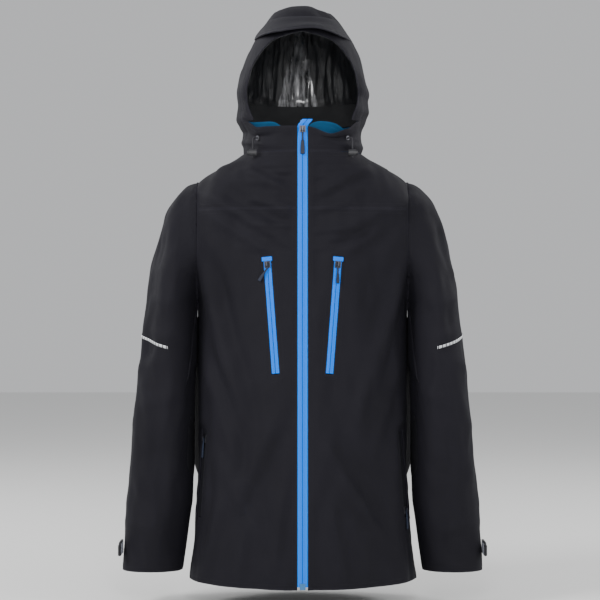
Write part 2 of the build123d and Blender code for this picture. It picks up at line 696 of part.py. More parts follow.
with BuildPart() as left_barrel:
    with BuildSketch(Plane.YZ.offset(lock_x - lock_length / 2)) as barrel:
        with Locations((lock_y, lock_z)):
            Circle(lock_radius)
    extrude(barrel.sketch, amount=lock_length)
    with BuildSketch(Plane.XY.offset(lock_z - lock_radius - 1.0)) as hole:
        with Locations((lock_x, lock_y)):
            Circle(cord_hole)
    extrude(hole.sketch, amount=2 * lock_radius + 2.0, mode=Mode.SUBTRACT)
    with BuildSketch(Plane.YZ.offset(lock_x + cord_hole + 1.0)) as well:
        with Locations((lock_y, lock_z)):
            Circle(lock_radius - 1.4)
    extrude(well.sketch, amount=lock_length, mode=Mode.SUBTRACT)

with BuildPart() as left_button:
    with BuildSketch(Plane.YZ.offset(lock_x + cord_hole + 1.0 + button_travel + 0.2)) as button:
        with Locations((lock_y, lock_z)):
            Circle(lock_radius - 1.4 - 0.2)
    extrude(button.sketch, amount=lock_length / 2 - cord_hole - 1.0)

with BuildPart() as left_eyelet:
    with BuildSketch(Plane(origin=eyelet + eyelet_out * 0.6, z_dir=eyelet_out)) as ring:
        Circle(4.2)
        Circle(cord_diameter / 2 + 0.3, mode=Mode.SUBTRACT)
    extrude(ring.sketch, amount=1.2)

with BuildPart() as cords:
    for _, side in SIDES:
        add(on_side(left_cord.part, side))
cords.part.label = "hood_drawcords"
export_step(cords.part, "parts/hood_drawcords.step")

with BuildPart() as barrels:
    for _, side in SIDES:
        add(on_side(left_barrel.part, side))
barrels.part.label = "hood_lock_barrels"
export_step(barrels.part, "parts/hood_lock_barrels.step")

with BuildPart() as eyelets:
    for _, side in SIDES:
        add(on_side(left_eyelet.part, side))
eyelets.part.label = "hood_eyelets"
export_step(eyelets.part, "parts/hood_eyelets.step")

for name, side in SIDES:
    button_part = on_side(left_button.part, side)
    button_part.label = f"hood_lock_button_{name}"
    export_step(button_part, f"parts/hood_lock_button_{name}.step")
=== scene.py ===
import json
from math import cos, pi, radians, sin

import bpy
import numpy as np
from mathutils import Matrix, Vector, noise
from mathutils.kdtree import KDTree


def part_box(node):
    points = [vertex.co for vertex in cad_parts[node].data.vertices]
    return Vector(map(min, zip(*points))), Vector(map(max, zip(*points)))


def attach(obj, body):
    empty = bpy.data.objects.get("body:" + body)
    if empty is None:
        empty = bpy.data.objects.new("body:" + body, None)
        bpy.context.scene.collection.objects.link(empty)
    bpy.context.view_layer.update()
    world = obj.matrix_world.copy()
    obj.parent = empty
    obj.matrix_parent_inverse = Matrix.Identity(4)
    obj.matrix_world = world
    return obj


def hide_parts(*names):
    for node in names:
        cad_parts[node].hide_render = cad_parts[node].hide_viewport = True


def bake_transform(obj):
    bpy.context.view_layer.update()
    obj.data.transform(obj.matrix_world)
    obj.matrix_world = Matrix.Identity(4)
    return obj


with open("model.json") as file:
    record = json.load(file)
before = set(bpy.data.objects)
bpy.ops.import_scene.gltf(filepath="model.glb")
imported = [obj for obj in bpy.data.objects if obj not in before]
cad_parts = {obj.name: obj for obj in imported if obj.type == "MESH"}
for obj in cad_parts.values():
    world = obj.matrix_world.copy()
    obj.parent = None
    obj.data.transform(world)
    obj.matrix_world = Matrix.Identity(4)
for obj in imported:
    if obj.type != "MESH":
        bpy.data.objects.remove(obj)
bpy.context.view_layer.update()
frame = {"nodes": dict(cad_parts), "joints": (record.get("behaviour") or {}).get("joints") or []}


# ---------------------------------------------------------------------------------------------
# Studio: a pale sheet of paper under the jacket and a pale world round it, lit by large soft boxes,
# with the camera level with the middle of the jacket and straight in front of it.

def select_only(*pieces):
    """Selects these pieces and nothing else, and makes the first of them active."""
    bpy.ops.object.select_all(action="DESELECT")
    for piece in pieces:
        piece.select_set(True)
    if pieces:
        bpy.context.view_layer.objects.active = pieces[0]


def edit_all():
    """Opens the active piece for editing, with all of it selected."""
    bpy.ops.object.mode_set(mode="EDIT")
    bpy.ops.mesh.select_all(action="SELECT")


def end_edit():
    bpy.ops.object.mode_set(mode="OBJECT")


def set_in_mesh():
    """Ends editing, and puts the active piece's place and size into its mesh."""
    end_edit()
    bpy.ops.object.transform_apply(location=True, rotation=True, scale=True)


def set_inputs(target, values):
    """Sets sockets of a shader node by their labels."""
    for label, value in values.items():
        target.inputs[label].default_value = value


def new_material(name):
    """A material, its node tree and its shader."""
    made = bpy.data.materials.new(name)
    made.use_nodes = True
    return made, made.node_tree, made.node_tree.nodes["Principled BSDF"]


floor_z, floor_width = -0.80, 14
select_only()
bpy.ops.mesh.primitive_plane_add(size=1.0, location=(0, 0, floor_z))
floor = bpy.context.object
floor.name = "studio_floor"
edit_all()
bpy.ops.transform.resize(value=(floor_width, floor_width, 1), center_override=(0, 0, floor_z))
set_in_mesh()
paper, tree, shader = new_material("studio_paper")
set_inputs(shader, {"Base Color": (0.78, 0.78, 0.77, 1), "Roughness": 0.9})
floor.data.materials.append(paper)

world = bpy.data.worlds.new("studio")
bpy.context.scene.world = world
world.use_nodes = True
set_inputs(world.node_tree.nodes["Background"], {"Color": (0.93, 0.94, 0.96, 1), "Strength": 0.62})

for name, place, aim, size, power in (
    ("key", (-2.6, -1.7, 1.9), (0, 0, -0.2), 1.1, 95),
    ("fill", (2.9, -1.5, 0.9), (0, 0, -0.3), 1.4, 34),
    ("rim_left", (-1.9, 1.2, 1.2), (0, 0, -0.1), 1.0, 26),
    ("rim_right", (1.9, 1.2, 1.2), (0, 0, -0.1), 1.0, 26),
    ("hood", (0.05, -1.9, 0.30), (0, 0, 0.15), 0.4, 15),
):
    lamp = bpy.data.lights.new(name, "AREA")
    lamp.shape = "SQUARE"
    lamp.size = size
    lamp.energy = power
    box = bpy.data.objects.new(name, lamp)
    box.location = place
    box.rotation_euler = (Vector(aim) - Vector(place)).to_track_quat("-Z", "Y").to_euler()
    bpy.context.scene.collection.objects.link(box)

lens = bpy.data.cameras.new("camera")
lens.sensor_width = 36.0
lens.lens = 102.6
camera = bpy.data.objects.new("camera", lens)
camera.location = (-0.0045, -3.07, -0.256)
camera.rotation_euler = (radians(90), 0, 0)
bpy.context.scene.collection.objects.link(camera)
bpy.context.scene.camera = camera


# ---------------------------------------------------------------------------------------------
# Body of the shell: fronts, back and yoke are cut from matt woven polyester with a bonded
# membrane, sewn with a double row of topstitching beside each seam and opening.

def choose(piece, wanted):
    """Selects only this piece, and in it the faces whose centre is wanted."""
    select_only(piece)
    bpy.ops.object.mode_set(mode="EDIT")
    bpy.ops.mesh.select_mode(type="FACE")
    bpy.ops.mesh.select_all(action="DESELECT")
    end_edit()
    for face in piece.data.polygons:
        face.select = bool(wanted(face.center))
    bpy.ops.object.mode_set(mode="EDIT")


def cut(piece, place, normal, near=lambda c: True):
    """Cuts a straight line across the faces that are near."""
    choose(piece, near)
    bpy.ops.mesh.bisect(plane_co=place, plane_no=normal)
    end_edit()


def trim(piece, unwanted):
    """Cuts away the faces that are unwanted."""
    choose(piece, unwanted)
    bpy.ops.mesh.delete(type="FACE")
    end_edit()


def keep(piece, name, wanted):
    """Keeps only the faces that are wanted, under a new name."""
    piece.name = name
    trim(piece, lambda c: not wanted(c))
    choose(piece, lambda c: True)
    bpy.ops.mesh.select_mode(type="VERT")
    bpy.ops.mesh.select_all(action="SELECT")
    bpy.ops.mesh.remove_doubles(threshold=0.00005)
    end_edit()
    return piece


def part_of(whole, name, wanted):
    """A copy of the faces that are wanted, as a piece of its own."""
    piece = whole.copy()
    piece.data = whole.data.copy()
    bpy.context.scene.collection.objects.link(piece)
    return keep(piece, name, wanted)


def discard(piece):
    bpy.data.objects.remove(piece)


def modifier(piece, kind, **settings):
    """Adds a modifier and applies it."""
    select_only(piece)
    added = piece.modifiers.new(kind.lower(), kind)
    for key, value in settings.items():
        setattr(added, key, value)
    bpy.ops.object.modifier_apply(modifier=added.name)


def ring_tube(name, rings, around=64, steps=2, closed=False):
    """A tube drawn up from a circle ring by ring: height, half width, half depth, x and y."""
    z, wide, deep, x, y = rings[0]
    select_only()
    bpy.ops.mesh.primitive_circle_add(vertices=around, radius=1.0, location=(x, y, z))
    tube = bpy.context.object
    tube.name = name
    bpy.ops.object.mode_set(mode="EDIT")
    bpy.ops.mesh.select_mode(type="VERT")
    bpy.ops.mesh.select_all(action="SELECT")
    bpy.ops.transform.resize(value=(wide, deep, 1), center_override=(x, y, z))
    for low, high in zip(rings, rings[1:]):
        for step in range(steps):
            a = [p + (q - p) * step / steps for p, q in zip(low, high)]
            b = [p + (q - p) * (step + 1) / steps for p, q in zip(low, high)]
            bpy.ops.mesh.extrude_region_move(
                TRANSFORM_OT_translate={"value": (b[3] - a[3], b[4] - a[4], b[0] - a[0])})
            bpy.ops.transform.resize(value=(b[1] / a[1], b[2] / a[2], 1),
                                     center_override=(b[3], b[4], b[0]))
    if closed:
        bpy.ops.mesh.merge(type="CENTER")
    bpy.ops.mesh.select_all(action="SELECT")
    bpy.ops.mesh.normals_make_consistent(inside=False)
    set_in_mesh()
    modifier(tube, "SUBSURF", levels=2, render_levels=2)
    return tube


def read_points(piece, what):
    flat = np.empty(len(piece.data.vertices) * 3)
    piece.data.vertices.foreach_get(what, flat)
    return flat.reshape(-1, 3)


def points_of(piece):
    return read_points(piece, "co")


def normals_of(piece):
    return read_points(piece, "normal")


def put_points(piece, points):
    piece.data.vertices.foreach_set("co", points.ravel())
    piece.data.update()


def step_between(value, low, high):
    share = np.clip((value - low) / (high - low), 0, 1)
    return share * share * (3 - 2 * share)


def fold(points, start, end, width, height, front=True):
    """A soft ridge with a hollow beside it, from one (x, z) to another, fading at both ends."""
    run = np.array(end) - np.array(start)
    length = np.linalg.norm(run)
    run = run / length
    away = points[:, [0, 2]] - np.array(start)
    along = away @ run / length
    across = away @ np.array([-run[1], run[0]]) / width
    fade = step_between(along, -0.15, 0.25) * (1 - step_between(along, 0.7, 1.15))
    side = (points[:, 1] < 0.01) if front else (points[:, 1] > 0.01)
    return height * fade * side * (np.exp(-across**2) - 0.6 * np.exp(-((across - 1.5) ** 2)))


def rumple(points, scale, seed):
    """Smooth noise over the surface, from -1 to 1, where scale gives the size of a fold each way."""
    stretched = points / np.array(scale) + seed
    return np.array([noise.noise(Vector(p)) for p in stretched])


def boundary_chains(piece):
    """The open edges of a piece as runs of points, in order."""
    used = {}
    for face in piece.data.polygons:
        for key in face.edge_keys:
            used[key] = used.get(key, 0) + 1
    near = {}
    for (a, b), times in used.items():
        if times == 1:
            near.setdefault(a, []).append(b)
            near.setdefault(b, []).append(a)
    chains = []
    left = set(near)
    while left:
        here = min(left)
        chain = [here]
        left.discard(here)
        while True:
            ahead = [n for n in near[here] if n in left]
            if not ahead:
                break
            here = ahead[0]
            chain.append(here)
            left.discard(here)
        chain.append(chain[0])
        chains.append(chain)
    return chains


def search_tree(spots):
    """A tree that finds the nearest of these points."""
    tree = KDTree(len(spots))
    for i, spot in enumerate(spots):
        tree.insert(spot, i)
    tree.balance()
    return tree


def store(piece, name, values):
    """Keeps a number for each point, which the piece's material reads."""
    layer = piece.data.attributes.new(name, "FLOAT", "POINT")
    layer.data.foreach_set("value", values.astype(np.float32))


def mark_seams(piece, reach=0.03):
    """Stores how far each point is from the piece's nearest edge, and how far along that edge."""
    points = points_of(piece)
    widest_gap, spacing = 0.05, 0.0015
    spots, runs = [], []
    for chain in boundary_chains(piece):
        run = 0.0
        for a, b in zip(chain, chain[1:]):
            gap = np.linalg.norm(points[b] - points[a])
            if gap > widest_gap:
                continue
            count = max(1, int(gap / spacing))
            for i in range(count):
                spots.append(points[a] + (points[b] - points[a]) * i / count)
                runs.append(run + gap * i / count)
            run += gap
    tree = search_tree(spots)
    away = np.full(len(points), reach)
    along = np.zeros(len(points))
    for i, point in enumerate(points):
        _, index, distance = tree.find(point)
        away[i] = min(distance, reach)
        along[i] = runs[index]
    store(piece, "seam_away", away)
    store(piece, "seam_along", along)
    return away


def smooth(piece, degrees=50):
    """Shades a piece smooth, and keeps its corners that are sharper than this."""
    select_only(piece)
    bpy.ops.object.shade_smooth_by_angle(angle=radians(degrees))


def sew(piece, thickness, sink=0.0006):
    """Draws the cloth in at its seams, gives it its thickness, and smooths it."""
    away = mark_seams(piece)
    points, normals = points_of(piece), normals_of(piece)
    pucker = rumple(points, (0.011, 0.011, 0.011), 5.0) * np.exp(-((away / 0.009) ** 2)) * 0.0005
    points = points + normals * (pucker - sink * np.exp(-((away / 0.0035) ** 2)))[:, None]
    put_points(piece, points)
    modifier(piece, "SOLIDIFY", thickness=thickness, offset=-1, use_even_offset=False)
    smooth(piece)


def node(tree, kind, place=(0, 0), **settings):
    made = tree.nodes.new(kind)
    made.location = place
    for key, value in settings.items():
        setattr(made, key, value)
    return made


def feed(tree, socket, value):
    """Gives a socket a number, a colour, or the output of another node."""
    if isinstance(value, (int, float)):
        socket.default_value = value
    elif isinstance(value, tuple):
        socket.default_value = (*value, 1)
    else:
        tree.links.new(value, socket)


def maths(tree, operation, *values):
    """A math node on sockets or numbers."""
    made = node(tree, "ShaderNodeMath", operation=operation)
    for i, value in enumerate(values):
        feed(tree, made.inputs[i], value)
    return made.outputs[0]


def times(tree, a, b):
    return maths(tree, "MULTIPLY", a, b)


def plus(tree, a, b):
    return maths(tree, "ADD", a, b)


def mixed_colour(tree, share, first, second, **settings):
    """One colour mixed into another by a share, which may be a number or a socket."""
    made = node(tree, "ShaderNodeMix", data_type="RGBA", **settings)
    for label, value in (("Factor", share), ("A", first), ("B", second)):
        feed(tree, made.inputs[label], value)
    return made.outputs["Result"]


def emboss(tree, shader, height, depth, strength=1.0):
    """Raises the surface by a height, as a bump."""
    bump = node(tree, "ShaderNodeBump")
    set_inputs(bump, {"Strength": strength, "Distance": depth})
    tree.links.new(height, bump.inputs["Height"])
    tree.links.new(bump.outputs["Normal"], shader.inputs["Normal"])


def group(name, inputs, outputs):
    """An empty shader node group with named sockets."""
    made = bpy.data.node_groups.new(name, "ShaderNodeTree")
    for label, kind, value in inputs:
        socket = made.interface.new_socket(label, in_out="INPUT", socket_type=kind)
        socket.default_value = value
    for label, kind in outputs:
        made.interface.new_socket(label, in_out="OUTPUT", socket_type=kind)
    return made, node(made, "NodeGroupInput", (-900, 0)), node(made, "NodeGroupOutput", (900, 0))


def noise_at(tree, vector, scale, detail=3.0, roughness=0.55):
    made = node(tree, "ShaderNodeTexNoise")
    set_inputs(made, {"Detail": detail, "Roughness": roughness})
    feed(tree, made.inputs["Scale"], scale)
    tree.links.new(vector, made.inputs["Vector"])
    return made.outputs["Fac"]


# the woven effect: threads both ways, soft creases with painted shade in their hollows and painted light on
# their ridges, wear and dust at the edges, two rows of stitches
woven, woven_in, woven_out = group(
    "woven_cloth",
    [("Colour", "NodeSocketColor", (0.01, 0.01, 0.01, 1)), ("Away", "NodeSocketFloat", 0.03),
     ("Along", "NodeSocketFloat", 0.0), ("Threads", "NodeSocketFloat", 1500.0),
     ("Creases", "NodeSocketFloat", 1.0), ("Stitches", "NodeSocketFloat", 1.0),
     ("Roughness", "NodeSocketFloat", 0.7)],
    [("Colour", "NodeSocketColor"), ("Roughness", "NodeSocketFloat"), ("Height", "NodeSocketFloat")])
place = node(woven, "ShaderNodeTexCoord").outputs["Object"]
parts = node(woven, "ShaderNodeSeparateXYZ")
woven.links.new(place, parts.inputs[0])
round_body = plus(woven, parts.outputs["X"], times(woven, parts.outputs["Y"], 0.9))
threads = woven_in.outputs["Threads"]
waves = times(woven, threads, 6.283)
warp = maths(woven, "SINE", times(woven, round_body, waves))
weft = maths(woven, "SINE", times(woven, parts.outputs["Z"], waves))
weave = times(woven, warp, weft)
slub = noise_at(woven, place, 900.0, 2.0)
crease_fine = noise_at(woven, place, 42.0, 5.0, 0.62)
crease_wide = noise_at(woven, place, 9.0, 3.0, 0.5)
away = woven_in.outputs["Away"]
stitch_length, thread_half_width, stitch_rows = 0.0031, 0.00042, (0.0022, 0.0085)
dash = maths(woven, "FRACT", times(woven, woven_in.outputs["Along"], 1 / stitch_length))
dash = maths(woven, "GREATER_THAN", dash, 0.27)
rows = [maths(woven, "LESS_THAN", maths(woven, "ABSOLUTE", maths(woven, "SUBTRACT", away, row)),
              thread_half_width) for row in stitch_rows]
rows = maths(woven, "MAXIMUM", *rows)
stitches = times(woven, times(woven, rows, dash), woven_in.outputs["Stitches"])
groove = times(woven, rows, times(woven, woven_in.outputs["Stitches"], -0.35))
height = times(woven, weave, 0.05)
for value, share in ((slub, 0.1), (crease_fine, 0.5), (crease_wide, 1.3)):
    scaled = times(woven, times(woven, value, share), woven_in.outputs["Creases"])
    height = plus(woven, height, scaled)
height = plus(woven, plus(woven, height, times(woven, stitches, 0.55)), groove)
woven.links.new(height, woven_out.inputs["Height"])
edge = maths(woven, "SUBTRACT", 1.0, maths(woven, "DIVIDE", away, 0.0035))
edge = maths(woven, "MAXIMUM", edge, 0.0)
wear = times(woven, times(woven, edge, crease_fine), 0.9)
# painted shade and light: the colour follows the wide crease noise that also raises the bump, darker in the
# hollows and lighter on the ridges; slub, weave, edge wear and stitches add their own tone
wear_tone_and_crease_shade = plus(woven, times(woven, crease_wide, 0.5), 0.72)
wear_tone_and_crease_shade = plus(woven, wear_tone_and_crease_shade, times(woven, weave, 0.07))
wear_tone_and_crease_shade = plus(woven, wear_tone_and_crease_shade, times(woven, slub, 0.14))
wear_tone_and_crease_shade = plus(woven, wear_tone_and_crease_shade, plus(woven, wear, times(woven, stitches, 0.28)))
grey = node(woven, "ShaderNodeCombineXYZ")
for i in range(3):
    woven.links.new(wear_tone_and_crease_shade, grey.inputs[i])
shade = mixed_colour(woven, 1.0, woven_in.outputs["Colour"], grey.outputs[0], blend_type="MULTIPLY")
woven.links.new(shade, woven_out.inputs["Colour"])
rough = plus(woven, woven_in.outputs["Roughness"], times(woven, crease_fine, 0.12))
rough = maths(woven, "SUBTRACT", rough, times(woven, stitches, 0.12))
woven.links.new(rough, woven_out.inputs["Roughness"])


def stored(tree, name):
    """The number that store keeps on a piece's points."""
    return node(tree, "ShaderNodeAttribute", attribute_name=name).outputs["Fac"]


def surface_from(tree, shader, effect, values, depth, strength=1.0):
    """Places an effect in a material, and lets it drive the colour, roughness and bump."""
    placed = node(tree, "ShaderNodeGroup", (-300, 0), node_tree=effect)
    set_inputs(placed, values)
    tree.links.new(placed.outputs["Colour"], shader.inputs["Base Color"])
    tree.links.new(placed.outputs["Roughness"], shader.inputs["Roughness"])
    emboss(tree, shader, placed.outputs["Height"], depth, strength)
    return placed


def cloth(name, colour, roughness, sheen=0.0, threads=1500.0, creases=1.0, stitches=1.0,
          depth=0.0012, coat=0.0, gloss=0.5):
    """A woven cloth with its own colour, thread count, creasing and stitching."""
    made, tree, shader = new_material(name)
    set_inputs(shader, {"Sheen Weight": sheen, "Sheen Roughness": 0.45, "Sheen Tint": (0.75, 0.78, 0.9, 1),
                        "Coat Weight": coat, "Coat Roughness": 0.3, "Specular IOR Level": gloss})
    placed = surface_from(tree, shader, woven, {
        "Colour": (*colour, 1), "Threads": threads, "Creases": creases, "Stitches": stitches,
        "Roughness": roughness}, depth, 0.9)
    tree.links.new(stored(tree, "seam_away"), placed.inputs["Away"])
    tree.links.new(stored(tree, "seam_along"), placed.inputs["Along"])
    return made


def finish(piece, material, slot, body, *nodes):
    """Gives a finished piece its material, hides the CAD parts that it stands for, and hangs it on the body
    that it moves with, if one is given.
    """
    piece.data.materials.clear()
    piece.data.materials.append(material)
    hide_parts(*nodes)
    if body:
        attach(piece, body)
    return piece


shell_cloth = cloth("shell_cloth", (0.0092, 0.0086, 0.0124), 0.68, sheen=0.01, gloss=0.15)

shell_thickness = 0.0014
hem_front, neck_front, body_length = 0.152, 0.101, 0.752


def front_line(z):
    """The straight line down the front that the main zip follows."""
    return -neck_front + (hem_front - neck_front) * z / body_length


def body_rings(inset=0.0, high=0.004):
    """Rings of the worn body: height, half width, half depth, x and y."""
    rings = []
    for z, wide, depth, sink in (
        (-0.752, 0.202, 0.302, 0.0), (-0.700, 0.197, 0.297, 0.0), (-0.649, 0.1915, 0.290, 0.0),
        (-0.575, 0.1850, 0.279, 0.0), (-0.510, 0.1875, 0.272, 0.0), (-0.458, 0.1880, 0.268, 0.0),
        (-0.400, 0.1882, 0.268, 0.0), (-0.340, 0.1882, 0.268, 0.0), (-0.290, 0.1882, 0.267, 0.0),
        (-0.254, 0.190, 0.266, 0.0),
        (-0.199, 0.212, 0.2606, 0.1), (-0.160, 0.225, 0.2526, 0.2), (-0.128, 0.2255, 0.243, 0.3),
        (-0.0996, 0.222, 0.2314, 0.4), (-0.062, 0.206, 0.2128, 0.8), (-0.036, 0.1745, 0.1996, 1.0),
        (-0.022, 0.149, 0.1902, 1.0), (-0.006, 0.119, 0.180, 1.0), (0.004, 0.106, 0.176, 0.0),
    ):
        y = front_line(z) + depth / 2
        if z <= high:
            rings.append((z - inset * sink, wide - inset, depth / 2 - inset, 0.0, y))
    return rings


armhole_x, armhole_z, yoke_z = 0.187, -0.262, -0.096
zip_edge = 0.0092  # from the middle of the front to the cloth's edge beside the main zip
body = ring_tube("body", body_rings(), around=72, steps=2)

BODY_FOLDS = (
    ((-0.175, -0.067), (-0.022, -0.157), 0.014, 0.0080), ((0.205, -0.067), (0.028, -0.157), 0.014, 0.0080),
    ((-0.165, -0.105), (-0.030, -0.190), 0.011, 0.0050), ((0.170, -0.105), (0.030, -0.205), 0.011, 0.0055),
    ((-0.110, -0.020), (-0.020, -0.070), 0.009, 0.0045), ((0.115, -0.020), (0.020, -0.075), 0.009, 0.0045),
    ((-0.085, -0.085), (-0.012, -0.098), 0.007, 0.0032), ((0.085, -0.088), (0.012, -0.100), 0.007, 0.0032),
    ((-0.075, -0.120), (-0.012, -0.130), 0.007, 0.0030), ((0.070, -0.128), (0.012, -0.136), 0.007, 0.0030),
    ((-0.178, -0.190), (-0.120, -0.420), 0.014, 0.0080), ((0.178, -0.190), (0.125, -0.430), 0.014, 0.0080),
    ((-0.160, -0.240), (-0.085, -0.500), 0.013, 0.0060), ((0.158, -0.250), (0.090, -0.480), 0.013, 0.0055),
    ((-0.172, -0.350), (-0.110, -0.560), 0.013, 0.0060), ((0.170, -0.360), (0.120, -0.540), 0.013, 0.0055),
    ((0.031, -0.490), (0.122, -0.650), 0.017, 0.0085), ((0.060, -0.560), (0.160, -0.700), 0.014, 0.0060),
    ((-0.040, -0.450), (-0.130, -0.640), 0.016, 0.0070), ((-0.150, -0.520), (-0.060, -0.690), 0.015, 0.0055),
    ((-0.140, -0.600), (-0.175, -0.740), 0.012, 0.0055), ((0.150, -0.610), (0.178, -0.740), 0.012, 0.0055),
    ((-0.030, -0.560), (-0.055, -0.735), 0.013, 0.0045), ((0.045, -0.600), (0.070, -0.740), 0.013, 0.0045),
    ((-0.100, -0.640), (-0.112, -0.748), 0.011, 0.0040), ((0.108, -0.660), (0.118, -0.748), 0.011, 0.0040),
)
BACK_FOLDS = (
    ((-0.160, -0.090), (-0.030, -0.300), 0.018, 0.0085), ((0.160, -0.095), (0.035, -0.290), 0.018, 0.0085),
    ((-0.130, -0.300), (0.020, -0.420), 0.016, 0.0070), ((0.140, -0.340), (-0.020, -0.470), 0.016, 0.0070),
    ((-0.120, -0.480), (-0.060, -0.700), 0.018, 0.0075), ((0.110, -0.500), (0.070, -0.710), 0.018, 0.0075),
    ((0.000, -0.560), (0.010, -0.730), 0.016, 0.0055), ((-0.090, -0.060), (0.090, -0.064), 0.010, 0.0045),
)


def drape_body(piece):
    """Pull lines from the shoulders to the zip, and slack above the hem, as the body is worn."""
    points, normals = points_of(piece), normals_of(piece)
    drape = np.zeros(len(points))
    for folds, front in ((BODY_FOLDS, True), (BACK_FOLDS, False)):
        for start, end, width, high in folds:
            drape += fold(points, start, end, width, high, front)
    drape += 0.0064 * rumple(points, (0.055, 0.055, 0.16), 3.1)
    drape += 0.0034 * rumple(points, (0.024, 0.024, 0.055), 9.4)
    chest = (1 - step_between(np.abs(points[:, 0]), 0.07, 0.15)) * step_between(points[:, 2], -0.21, -0.15)
    drape += 0.0030 * chest * rumple(points, (0.055, 0.055, 0.010), 27.0) * (points[:, 1] < 0)
    calm = step_between(np.abs(points[:, 0]), 0.008, 0.030) + (points[:, 1] > 0)
    calm = np.clip(calm, 0, 1) * (1 - step_between(points[:, 2], -0.03, 0.0))
    drape = np.clip(drape * calm, -0.0065, 0.0105)
    under_arm = (1 - step_between(np.abs(points[:, 1]), 0.02, 0.06)) * (np.abs(points[:, 0]) > 0.15)
    under_arm *= step_between(points[:, 2], -0.60, -0.54)
    points = points + normals * (drape * (1 - under_arm))[:, None]
    fullness = np.exp(-(((points[:, 1] - 0.050) / 0.024) ** 2)) * (np.abs(points[:, 0]) > 0.12)
    fullness *= step_between(points[:, 2], -0.620, -0.545) * (1 - step_between(points[:, 2], -0.31, -0.265))
    points[:, 0] += np.sign(points[:, 0]) * fullness * np.clip(0.1980 - np.abs(points[:, 0]), 0, 0.035)
    put_points(piece, points)


drape_body(body)



def cut_beside_zip(piece, high=1.0):
    """Cuts the line where the cloth ends beside the main zip, on both sides."""
    for side in (1, -1):
        cut(piece, (side * zip_edge, 0, 0), (1, 0, 0), lambda c: abs(c.x) < 0.03 and c.y < 0 and c.z < high)


# armholes, the zip opening, and the seams of the yoke and the sides
for side in (1, -1):
    upper = lambda c, s=side: c.x * s > 0.15 and c.z > armhole_z - 0.03
    cut(body, (side * armhole_x, 0, 0), (1, 0, 0), upper)
    cut(body, (0, 0, armhole_z), (0, 0, 1), upper)
    trim(body, lambda c, s=side: c.x * s > armhole_x and c.z > armhole_z)
cut_beside_zip(body)
trim(body, lambda c: abs(c.x) < zip_edge and c.y < 0)
cut(body, (0, 0, yoke_z), (0, 0, 1), lambda c: abs(c.z - yoke_z) < 0.03)
cut(body, (0, 0, 0), (0, 1, 0), lambda c: abs(c.y) < 0.03 and abs(c.x) > 0.1)

joints = {joint["name"]: joint for joint in frame["joints"]}


def zip_frame(name):
    """Where a zip's pull turns, as a matrix: X across the zip, Y up along it, and Z out of the cloth."""
    up = Vector(joints[name + "_slide"]["axis"])
    if up.z < 0:
        up = -up
    across = -Vector(joints[name + "_pull_lift"]["axis"])
    out = across.cross(up)
    made = Matrix((across, up, out)).transposed().to_4x4()
    made.translation = Vector(joints[name + "_pull_lift"]["pos_m"])
    return made


chest_travel = joints["chest_zip_left_slide"]["range_m"][1]
hand_travel = joints["hand_zip_left_slide"]["range_m"][1]
zip_reach = {
    "chest_zip_left": (-chest_travel - 0.0105, 0.012), "chest_zip_right": (-chest_travel - 0.0105, 0.012),
    "hand_zip_left": (-0.012, hand_travel + 0.012), "hand_zip_right": (-hand_travel - 0.012, 0.012),
}
pocket_edge = 0.0068
for name, (low, high) in zip_reach.items():
    place = zip_frame(name)
    back = place.inverted()
    near = lambda c, b=back, l=low, h=high: (
        abs((b @ c).x) < 0.03 and l - 0.03 < (b @ c).y < h + 0.03 and abs((b @ c).z) < 0.03)
    for offset, normal in (((pocket_edge, 0, 0), (1, 0, 0)), ((-pocket_edge, 0, 0), (1, 0, 0)),
                           ((0, low - 0.0003, 0), (0, 1, 0)), ((0, high + 0.0003, 0), (0, 1, 0))):
        cut(body, place @ Vector(offset), place.to_3x3() @ Vector(normal), near)
    trim(body, lambda c, b=back, l=low, h=high: (
        abs((b @ c).x) < pocket_edge and l < (b @ c).y < h and abs((b @ c).z) < 0.03))

# the cloth lies level with each zip along its opening
points = points_of(body)
for name, (low, high) in zip_reach.items():
    place = np.array(zip_frame(name))
    local = (points - place[:3, 3]) @ place[:3, :3]
    near = np.exp(-(np.maximum(np.abs(local[:, 0]) - pocket_edge, 0) / 0.017) ** 2)
    near *= step_between(local[:, 1], low - 0.02, low) * (1 - step_between(local[:, 1], high, high + 0.02))
    near *= np.abs(local[:, 2]) < 0.02
    points = points - np.outer((local[:, 2] + 0.0022) * near, place[:3, 2])
put_points(body, points)

SIDES = (("left", 1), ("right", -1))
armhole_edges = {
    name: [Vector(points[i]) for chain in boundary_chains(body) for i in chain
           if abs(points[i][0] - side * armhole_x) < 0.0006 and points[i][2] > armhole_z - 0.001]
    for name, side in SIDES}

shell_parts = (
    ("front_panel_left", lambda c: c.z < yoke_z and c.y < 0 and c.x > 0),
    ("front_panel_right", lambda c: c.z < yoke_z and c.y < 0 and c.x < 0),
    ("back_panel", lambda c: c.z < yoke_z and c.y > 0),
    ("shoulder_yoke", lambda c: c.z > yoke_z),
)
for name, wanted in shell_parts:
    piece = part_of(body, "jacket_" + name, wanted)
    sew(piece, shell_thickness)
    finish(piece, shell_cloth, "shell_fabric", "torso", name)
discard(body)
